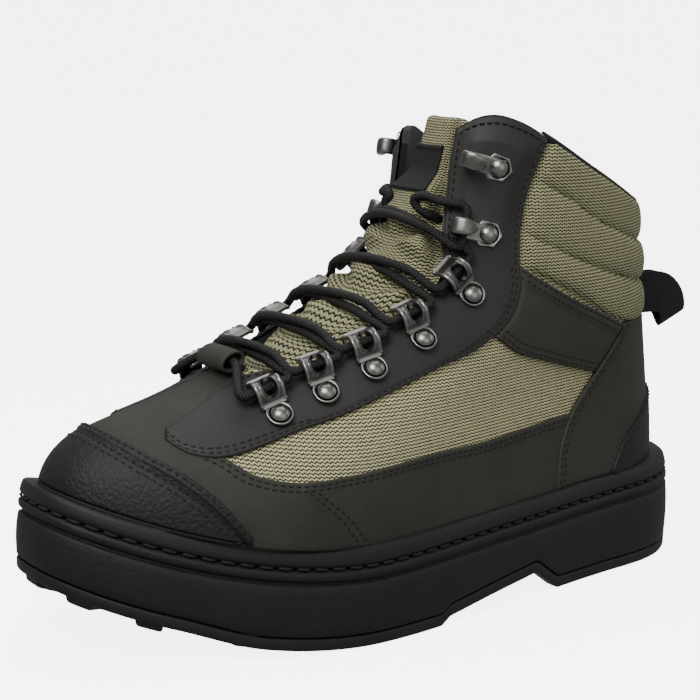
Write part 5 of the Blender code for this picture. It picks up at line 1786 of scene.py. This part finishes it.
def cross_rings(path: Points, side_axis: Points, widths: Points, heights: Points,
                power: float = 1.0, sides: int = 20) -> Points:
    """Closed rings along a path, each a superellipse across it.

    Args:
        path: Points of the path.
        side_axis: Direction of the rings' width at each point, or one for all.
        widths: Half widths.
        heights: Half heights.
        power: Exponent of the ring's sine and cosine: 1 is an ellipse, less is squarer.
        sides: Points of one ring.

    Returns:
        The rings, as an array of rows of points.
    """
    along = unit(np.gradient(path, axis=0))
    side_axis = np.broadcast_to(side_axis, path.shape)
    side_axis = unit(side_axis - along * np.sum(along * side_axis, -1, keepdims=True))
    out = np.cross(along, side_axis)
    turns = 2 * np.pi * np.arange(sides) / sides
    way = [np.sign(f) * np.abs(f) ** power for f in (np.cos(turns), np.sin(turns))]
    widths = np.broadcast_to(widths, len(path))[:, None, None]
    heights = np.broadcast_to(heights, len(path))[:, None, None]
    return (path[:, None] + side_axis[:, None] * way[0][None, :, None] * widths
            + out[:, None] * way[1][None, :, None] * heights)


class Holder:
    """Common form of the lace holders: a domed rivet in the recess of a base plate."""

    profile: Points = np.zeros((2, 2))
    turns: int = 72
    dome = ((0.0030, 0.0002), (0.0034, 0.0006), (0.0037, 0.0010), (0.0037, 0.0014),
            (0.0034, 0.0018), (0.0031, 0.00195), (0.0028, 0.0022), (0.0022, 0.0026),
            (0.0014, 0.0029), (0.0005, 0.00302))
    dome_worn = (0, 0, 0.3, 0.7, 0.6, 0.3, 0.7, 0.9, 1.0, 1.0)
    plate_worn = (0.2, 0.5, 0.8, 1.0, 0.6, 0.5, 0.1, 0.0, 0.0)

    def line(self, count: int) -> Points:
        """Middle line of the bent strip, as across and height, smoothed.

        Args:
            count: Number of points.

        Returns:
            The points.
        """
        steps = np.linalg.norm(np.diff(self.profile, axis=0), axis=1)
        table = np.column_stack([np.concatenate([[0], np.cumsum(steps)]), self.profile])
        at = np.linspace(0, table[-1, 0], count)
        return np.stack([curve(table, at, 1), curve(table, at, 2)], -1)

    def base(self, shape: Shape, reach: float, half: float, six_sided: bool = False) -> None:
        """Base plate with rounded or six-sided ends, and its rivet.

        Args:
            shape: Shape that takes the plate.
            reach: Reach of the plate from the rivet to the throat.
            half: Half of its width.
            six_sided: Whether its outline has six sides.
        """
        turns = 2 * np.pi * np.arange(self.turns) / self.turns
        front = np.clip(np.cos(turns), 0, 1)
        edge = np.stack([np.cos(turns) * (half + (reach - half) * front),
                         np.sin(turns) * half * (1 + 0.30 * front * (1 - front))], -1)
        if six_sided:
            sixth = np.mod(turns, np.pi / 3) - np.pi / 6
            edge = edge * (0.95 / np.cos(sixth))[:, None]
        circle = np.stack([np.cos(turns), np.sin(turns)], -1)
        rings = []
        for flat, height in (
            (edge * 0.96, 0.0), (edge, 0.0003), (edge, 0.0007), (edge * 0.975, 0.00100),
            (edge * 0.93, 0.00112), (circle * 0.00440, 0.00112), (circle * 0.00425, 0.00095),
            (circle * 0.00415, 0.00060), (circle * 0.0030, 0.00055),
        ):
            rings.append(np.column_stack([flat, np.full(self.turns, height)]))
        shape.loft(np.array(rings), rubbed=np.repeat(self.plate_worn, self.turns))
        half_turns = self.turns // 2
        rings = [np.column_stack([circle[::2] * radius, np.full(half_turns, height)])
                 for radius, height in self.dome]
        shape.loft(np.array(rings), rubbed=np.repeat(self.dome_worn, half_turns))

    def body(self, shape: Shape) -> None:
        """Add the bent strip."""

    def build(self, name: str, matrix: Matrix, paint: bpy.types.Material) -> None:
        """Build the holder at its place on the boot.

        Args:
            name: Name of the holder.
            matrix: Its place on the boot.
            paint: Its material.
        """
        shape = Shape()
        self.body(shape)
        shape.points = [moved(points, matrix) for points in shape.points]
        build_piece(name + "_metal", shape, [paint], [name])


class Eyelet(Holder):
    """Bridge over a tunnel for the lace, with a round hole in its top."""

    profile = np.array((
        (0.0042, 0.0009), (0.0056, 0.0019), (0.0070, 0.0041), (0.0088, 0.0060),
        (0.0108, 0.0066), (0.0130, 0.0059), (0.0150, 0.0034), (0.0164, 0.0012), (0.0180, 0.0006),
    ))
    half: float = 0.0050
    hole: tuple[float, float] = (0.0036, 0.0029)
    hole_shift: float = 0.0011
    sheet: float = 0.00055
    rim: float = 0.00098
    lip: float = 0.0007
    steps: int = 120
    spokes: int = 96

    def body(self, shape: Shape) -> None:
        """Base plate, bridge sheet round its hole, and the rolled rims.

        Args:
            shape: Shape that takes the bridge.
        """
        self.base(shape, 0.0070, 0.0051)
        line = self.line(self.steps)
        run = arc_lengths(line, 0)
        top = run[np.argmax(line[:, 1])] - self.hole_shift
        turns = 2 * np.pi * np.arange(self.spokes) / self.spokes
        reach = np.where(np.cos(turns) > 0, run[-1] - top, top)
        flat_edge = np.minimum(reach / np.maximum(np.abs(np.cos(turns)), 1e-6),
                               self.half / np.maximum(np.abs(np.sin(turns)), 1e-6))
        oval = 1 / np.hypot(np.cos(turns) / self.hole[0], np.sin(turns) / self.hole[1])
        tangent = unit(np.gradient(line, axis=0))
        normal = np.stack([-tangent[:, 1], tangent[:, 0]], -1)
        rings, worn = [], []
        parts = np.linspace(0, 1, 16)
        for lift, order in ((self.sheet, parts), (-self.sheet, parts[::-1])):
            for part in order:
                radius = oval + (flat_edge - oval) * part
                s = np.clip(top + radius * np.cos(turns), 0, run[-1])
                spot = np.stack([np.interp(s, run, line[:, k]) for k in (0, 1)], -1)
                out = np.stack([np.interp(s, run, normal[:, k]) for k in (0, 1)], -1)
                lip = self.lip * (1 - ease(part / 0.25)) if lift > 0 else 0.0
                spot = spot + out * (lift + lip)
                rings.append(np.column_stack([spot[:, 0], radius * np.sin(turns), spot[:, 1]]))
                worn.append(np.full(self.spokes, 0.95 - 0.6 * math.sin(math.pi * part)))
        shape.loft(np.array(rings), as_ring=True, rubbed=np.concatenate(worn))
        place = np.arange(self.steps)
        size = self.rim * np.clip(np.minimum(place, place[::-1]) / 6, 0.3, 1)
        for side in (1, -1):
            away = np.full(self.steps, side * self.half)
            path = np.column_stack([line[:, 0], away, line[:, 1]])
            rings = cross_rings(path, np.array([0.0, 1.0, 0.0]), size * 0.95, size, 1.0, 16)
            shape.loft(rings, rubbed=np.full(self.steps * 16, 0.95))


class Hook(Holder):
    """Open hook whose rounded nose curls back over the lace."""

    profile = np.array((
        (-0.0020, 0.0006), (0.0045, 0.0007), (0.0105, 0.0011), (0.0140, 0.0027),
        (0.0150, 0.0052), (0.0138, 0.0077), (0.0112, 0.0087), (0.0082, 0.0084), (0.0058, 0.0073),
    ))
    half: float = 0.0039
    sheet: float = 0.00072
    swelling: float = 0.00075
    steps: int = 90
    sides: int = 28

    def body(self, shape: Shape) -> None:
        """Base plate, and the bent strip with its rounded cross-section.

        Args:
            shape: Shape that takes the hook.
        """
        self.base(shape, 0.0070, 0.0053, True)
        line = self.line(self.steps)
        path = np.column_stack([line[:, 0], np.zeros(self.steps), line[:, 1]])
        part = np.linspace(0, 1, self.steps)
        width = self.half * (1 - 0.10 * ease(part / 0.6))
        width = width * np.sqrt(np.clip(1 - ((part - 0.80) / 0.20).clip(0, 0.995) ** 2, 0, 1))
        height = self.sheet + self.swelling * ease((part - 0.45) / 0.25)
        rings = cross_rings(path, np.array([0.0, 1.0, 0.0]), width, height, 0.55, self.sides)
        turns = 2 * np.pi * np.arange(self.sides) / self.sides
        worn = 0.35 + 0.6 * np.abs(np.cos(turns)) ** 3
        shape.loft(rings, rubbed=np.tile(worn, self.steps))


class Lacing(OnUpper):
    """The lace: one cord from hook to hook through bridges and keeper, and the keeper."""

    reach: float = 2 * CLEARANCE
    far_reach: float = 2.1 * LACE_RADIUS
    lift: dict[int, float] = {1: 0.0044, -1: 0.0068}
    keeper_level: float = 0.384
    keeper_half: float = 0.0095
    keeper_height: float = 0.0026
    keeper_length: float = 0.0085
    keeper_wall: float = 0.0013
    step: float = 0.00042
    sides: int = 18
    rib_pitch: float = 0.0021
    braid_turns: int = 8
    keeper_profile = (
        (-0.96, 0.0), (-1.0, 0.3), (-1.0, 0.8), (-0.96, 1.0), (-0.5, 1.0), (0.0, 1.0),
        (0.5, 1.0), (0.96, 1.0), (1.0, 0.8), (1.0, 0.3), (0.96, 0.0), (0.0, 0.0),
    )
    holders = (*EYELETS, HOOKS[0])
    height: float = PLATE_THICKNESS + LACE_RADIUS + 0.0010
    shares = np.linspace(keeper_level, HOOKS[0][1] + 0.08, 60)

    def spot(self, number: int, side: int, reach: float) -> Points:
        """Point of the lace in a holder, at a reach along the tunnel toward the ankle."""
        matrix = self.form.holder_frame(self.holders[number], side)
        return np.array(matrix @ Vector((TUNNEL_CENTRE, -side * reach, self.height)))

    def gate(self, number: int, side: int, end: int) -> list[Points]:
        """Points where the lace leaves a holder: end 1 toward the ankle, -1 to the toe.

        Args:
            number: Number of the holder, from the toe.
            side: 1 for the outer side, -1 for the inner.
            end: 1 toward the ankle, -1 toward the toe.

        Returns:
            The points.
        """
        if number == 5:
            return [self.spot(number, side, end * (Eyelet.half + 1.3 * LACE_RADIUS))]
        return [self.spot(number, side, end * (Eyelet.half + r))
                for r in (self.reach, self.far_reach)]

    def over(self, climb: float, sideways: float, lift: float) -> Points:
        """Point over the tongue at a climb, which counts up and back alike.

        Args:
            climb: Height less the place along the boot.
            sideways: Distance from the middle line.
            lift: Height over the leather's surface.

        Returns:
            The point.
        """
        line = self.form.surface(
            self.form.angle_at(self.shares, np.full(60, sideways)), self.shares)
        share = np.interp(climb, line[:, 2] - line[:, 0], self.shares)
        angle = self.form.angle_at(np.array(share), np.array(sideways))
        return self.form.offset(angle, share, lift + 0.05 * abs(sideways))

    def strand(self, number: int, side: int) -> list[Points]:
        """Points of a strand from one holder across the tongue to the next.

        Args:
            number: Number of the lower holder.
            side: 1 for the outer side, -1 for the inner.

        Returns:
            The points.
        """
        start = self.gate(number, side, 1)
        end = self.gate(number + 1, -side, -1)
        path = list(start)
        for part in (0.22, 0.50, 0.78):
            spot = start[-1] * (1 - part) + end[-1] * part
            sideways = float(spot[1] - self.form.sole.centre(spot[0]))
            lift = self.lift[side] + (0.0006 * side * -1 if part == 0.5 else 0.0)
            path.append(self.over(spot[2] - spot[0], sideways, lift))
        return path + end[::-1]

    def tuck(self, side: int) -> list[Points]:
        """Points from the top of a hook over to the tongue's edge, and down behind it.

        Args:
            side: 1 for the outer side, -1 for the inner.

        Returns:
            The points.
        """
        share = HOOKS[0][1] + 0.045
        gap = float(self.form.half_gap(share))
        path = [self.spot(5, side, 0.0078)]
        for rise, inward, lift in ((0.022, 0.0015, 0.0050), (0.030, 0.0075, 0.0052),
                                   (0.020, 0.0105, 0.0044), (0.006, 0.0090, 0.0030),
                                   (-0.004, 0.0050, 0.0010), (-0.008, 0.0015, -0.0040)):
            at = np.array(share + rise)
            angle = self.form.angle_at(at, np.array(side * (gap - inward)))
            path.append(self.form.offset(angle, at, np.array(lift)))
        return path

    def chain(self, side: int) -> list[Points]:
        """Points from the lowest eyelet of a side up to the tucked end.

        Args:
            side: 1 for the outer side, -1 for the inner.

        Returns:
            The points.
        """
        path = [self.spot(0, side, 0.0)]
        for number in range(5):
            path += self.strand(number, side)
            side = -side
            path.append(self.spot(number + 1, side, 0.0))
        return path + self.tuck(side)

    def keeper_centre(self) -> Points:
        """Middle of the keeper's tunnel, on the boot's ridge."""
        lift = self.keeper_height + self.keeper_wall + CLEARANCE + 0.0020
        return self.form.offset(np.array(1.0), np.array(self.keeper_level), np.array(lift))

    def build(self) -> None:
        """Build the cord and the keeper."""
        middle = self.keeper_centre()
        way = np.array([0.0, self.keeper_half, 0.0])
        bar = self.gate(0, -1, -1) + [middle - way, middle, middle + way]
        bar += self.gate(0, 1, -1)[::-1]
        knots = np.array(self.chain(-1)[::-1] + bar + self.chain(1))
        run = arc_lengths(knots, 0)
        keep = np.concatenate([[True], np.diff(run) > 1e-5])
        table = np.column_stack([run[keep], knots[keep]])
        places = np.arange(0, run[-1], self.step)
        path = np.stack([curve(table, places, k) for k in (1, 2, 3)], -1)
        for _ in range(3):
            path[1:-1] = (path[:-2] + 2 * path[1:-1] + path[2:]) / 4
        sides = self.sides
        along = unit(np.gradient(path, axis=0))
        axis = np.array([0.0, 0.0, 1.0])
        axes = []
        for direction in along:
            axis = axis - direction * np.dot(axis, direction)
            axis = axis / np.linalg.norm(axis)
            axes.append(axis)
        axes = np.array(axes)
        other = np.cross(along, axes)
        turns = 2 * np.pi * np.arange(sides) / sides
        rib = np.abs(np.sin(np.pi * places / self.rib_pitch))[:, None]
        size = LACE_RADIUS * (0.97 + 0.06 * rib + 0 * turns[None])[..., None]
        rings = path[:, None] + size * (axes[:, None] * np.cos(turns)[None, :, None]
                                        + other[:, None] * np.sin(turns)[None, :, None])
        shape = Shape()
        shape.loft(rings)
        shape.flat[-1] = np.stack(np.broadcast_arrays(
            turns[None] / (2 * np.pi) * CORD.pitch * self.braid_turns,
            places[:, None]), -1).reshape(-1, 2)
        names = [f"lace_crossing_{k}" for k in range(1, 6)] + ["lace_bar"]
        build_piece("lace_cord", shape, [self.paints.get(CORD)], names)
        self.build_keeper(middle)

    def build_keeper(self, middle: Points) -> None:
        """Keeper: a leather tunnel, its rings set one after another along its hole.

        Args:
            middle: Middle of the tunnel.
        """
        out = self.form.normal(np.array(1.0), np.array(self.keeper_level))
        forward = np.array([out[2], 0.0, -out[0]])
        turns = 2 * np.pi * np.arange(64) / 64
        rings = []
        for half, wall in self.keeper_profile:
            thick = self.keeper_wall * wall
            puff = 0.0005 * (1 - half ** 2) if wall == 1.0 else 0.0
            rings.append(middle + np.array([0.0, half * self.keeper_half, 0.0])
                         + np.cos(turns)[:, None] * forward * (self.keeper_length / 2 + thick)
                         + np.sin(turns)[:, None] * out * (self.keeper_height + thick + puff))
        keeper = Shape()
        keeper.loft(np.array(rings), as_ring=True)
        build_piece("keeper_leather", keeper, [self.paints.get(OLIVE)],
                    ["lace_keeper"])
        thread = Stitches()
        line = np.linspace(-0.85, 0.85, 24)[:, None] * np.array([0.0, self.keeper_half, 0.0])
        spot = middle + forward * (self.keeper_length / 2 + 0.0003) \
            + out * (self.keeper_wall + 0.0006)
        thread.row(spot + line, np.broadcast_to(unit(forward + out), line.shape), 0.0018, 0.0025)
        build_piece("keeper_stitches", thread.shape, [self.paints.get(THREAD)])


class PullLoop(OnUpper):
    """Pull loop: webbing folded in two behind the heel, drooping in its own plane."""

    width: float = 0.0195
    thickness: float = 0.0015
    reach: float = 0.0400
    eye: float = 0.0030
    radius: float = 0.0135
    share: float = 0.445
    turn: float = math.radians(71)
    tail: float = 0.0040
    root: float = 0.0017
    seat: float = 0.0026

    def build(self) -> None:
        """Build the loop as rings that follow the webbing, one at each place across it."""
        middle = self.form.offset(np.array(0.0), np.array(self.share), np.array(self.seat))
        turns = 2 * np.pi * np.arange(120) / 120
        part = (1 - np.cos(turns)) / 2
        bulge = np.sin(turns) * np.sqrt(np.maximum(part, 0.03))
        straight = self.reach - self.tail - self.radius * self.turn
        rings = []
        halves = np.linspace(-0.5, 0.5, 15)
        for half, wall in [(h, self.thickness) for h in halves] + [(h, 0.0) for h in halves[::-1]]:
            along = self.root - wall + part * (self.reach - self.root + 2 * wall)
            edge = 0.85 if abs(half) == 0.5 else 1.0
            across = bulge * (self.eye + wall * edge)
            width = half * self.width
            bend = np.clip((along - straight) / self.radius, 0, self.turn)
            rest = np.maximum(along - straight - self.radius * self.turn, 0)
            arm = self.radius + width
            x = -np.minimum(along, straight) - arm * np.sin(bend) - rest * math.cos(self.turn)
            z = -self.radius + arm * np.cos(bend) - rest * math.sin(self.turn)
            root = self.form.offset(np.array(0.0), np.array(self.share + width / UPPER_HEIGHT),
                                    np.array(self.seat))
            rings.append(np.stack([root[0] + x, middle[1] + across, middle[2] + z], -1))
        shape = Shape()
        shape.loft(np.array(rings), as_ring=True)
        place = np.concatenate([halves, halves[::-1]]) * self.width
        shape.flat[-1] = np.stack(np.broadcast_arrays(
            place[:, None], part[None] * self.reach), -1).reshape(-1, 2)
        build_piece("pull_loop_webbing", shape, [self.paints.get(WEBBING)],
                    ["pull_loop"])


class Studio:
    """Pale floor, soft lights and the camera at the photo's place."""

    eye = Vector((0.5164, 0.5287, 0.2366))
    target = Vector((0.1236, 0.0, 0.1025))
    roll: float = math.radians(1.7)
    lens: float = 84.26
    sky: float = 0.46
    backdrop: float = 5.2
    floor_reach: float = 5.0
    floor_bend: float = 1.2
    sensor: float = 36.0
    lamps = (
        ("key_light", (0.75, 0.35, 0.85), 0.60, 13.0),
        ("fill_light", (0.25, 1.05, 0.45), 0.80, 2.2),
        ("heel_light", (-0.75, 0.45, 0.55), 0.60, 1.6),
        ("top_light", (-0.10, -0.35, 1.00), 0.90, 6.0),
    )

    def __init__(self, paints: Paints) -> None:
        """Keep the paints."""
        self.paints = paints

    def build(self) -> None:
        """Make the floor, the sky, the lights and the camera."""
        self.build_floor()
        self.build_sky()
        self.build_lamps()
        self.build_camera()

    def build_floor(self) -> None:
        """Floor that curves up behind the boot; its glow doesn't light the boot."""
        mesh = bpy.data.meshes.new("floor")
        turn = np.linspace(0, np.pi / 2, 24)
        run = np.concatenate([[-self.floor_reach], self.floor_bend + np.sin(turn),
                              [self.floor_bend + 1]])
        rise = np.concatenate([[0.0], 1 - np.cos(turn), [self.floor_reach]])
        away = np.array(self.target - self.eye)[:2]
        away = away / np.linalg.norm(away)
        edges = [np.column_stack([run[:, None] * away + side * np.array([-away[1], away[0]]), rise])
                 for side in (-self.floor_reach, self.floor_reach)]
        mesh.from_pydata(np.concatenate(edges).tolist(), [],
                         quads(2, len(run)).tolist())
        mesh.polygons.foreach_set("use_smooth", [True] * (len(run) - 1))
        mesh.materials.append(self.paints.get(FLOOR))
        floor = bpy.data.objects.new("floor", mesh)
        bpy.context.scene.collection.objects.link(floor)
        floor.visible_diffuse = False
        floor.visible_glossy = False

    def build_sky(self) -> None:
        """Even sky, shown as bright as the floor but lighting the boot more softly."""
        world = bpy.data.worlds.new("sky")
        world.use_nodes = True
        background = world.node_tree.nodes["Background"]
        background.inputs["Color"].default_value = (1.0, 1.0, 1.0, 1.0)
        graph = Graph(world.node_tree)
        seen = graph.add("ShaderNodeLightPath").outputs["Is Camera Ray"]
        graph.put(background.inputs["Strength"],
                  graph.math("MULTIPLY_ADD", seen, self.backdrop - self.sky, self.sky))
        bpy.context.scene.world = world

    def build_lamps(self) -> None:
        """Soft lamps, each turned to the boot."""
        for name, place, size, power in self.lamps:
            light = bpy.data.lights.new(name, "AREA")
            light.size = size
            light.energy = power
            lamp = bpy.data.objects.new(name, light)
            lamp.location = place
            aim = self.target - Vector(place)
            lamp.rotation_mode = "QUATERNION"
            lamp.rotation_quaternion = aim.to_track_quat("-Z", "Y")
            bpy.context.scene.collection.objects.link(lamp)

    def build_camera(self) -> None:
        """Camera at the photo's place, with its small roll."""
        view = bpy.data.cameras.new("camera")
        view.lens = self.lens
        view.sensor_width = self.sensor
        view.clip_start = 0.01
        camera = bpy.data.objects.new("camera", view)
        forward = (self.target - self.eye).normalized()
        right = forward.cross(Vector((0, 0, 1))).normalized()
        up = right.cross(forward)
        turned_right = right * math.cos(self.roll) + up * math.sin(self.roll)
        turned_up = up * math.cos(self.roll) - right * math.sin(self.roll)
        matrix = Matrix((turned_right, turned_up, -forward)).transposed().to_4x4()
        matrix.translation = self.eye
        camera.matrix_world = matrix
        bpy.context.scene.collection.objects.link(camera)
        bpy.context.scene.camera = camera


def main() -> None:
    """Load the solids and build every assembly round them."""
    logging.basicConfig(level=logging.INFO)
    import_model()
    paints = Paints()
    sole = SoleForm()
    form = UpperForm(sole)
    Sole(sole, form, paints).build()
    UpperParts(form, paints).build()
    Tongue(form, paints).build()
    nickel = paints.get(NICKEL)
    for side in (1, -1):
        for kind, holder, table in (("eyelet", Eyelet(), EYELETS), ("hook", Hook(), HOOKS)):
            for number, place in enumerate(table, 1):
                matrix = form.holder_frame(place, side)
                holder.build(f"{kind}_{side_name(side)}_{number}", matrix, nickel)
    Lacing(form, paints).build()
    PullLoop(form, paints).build()
    Studio(paints).build()


if __name__ == "__main__":
    main()
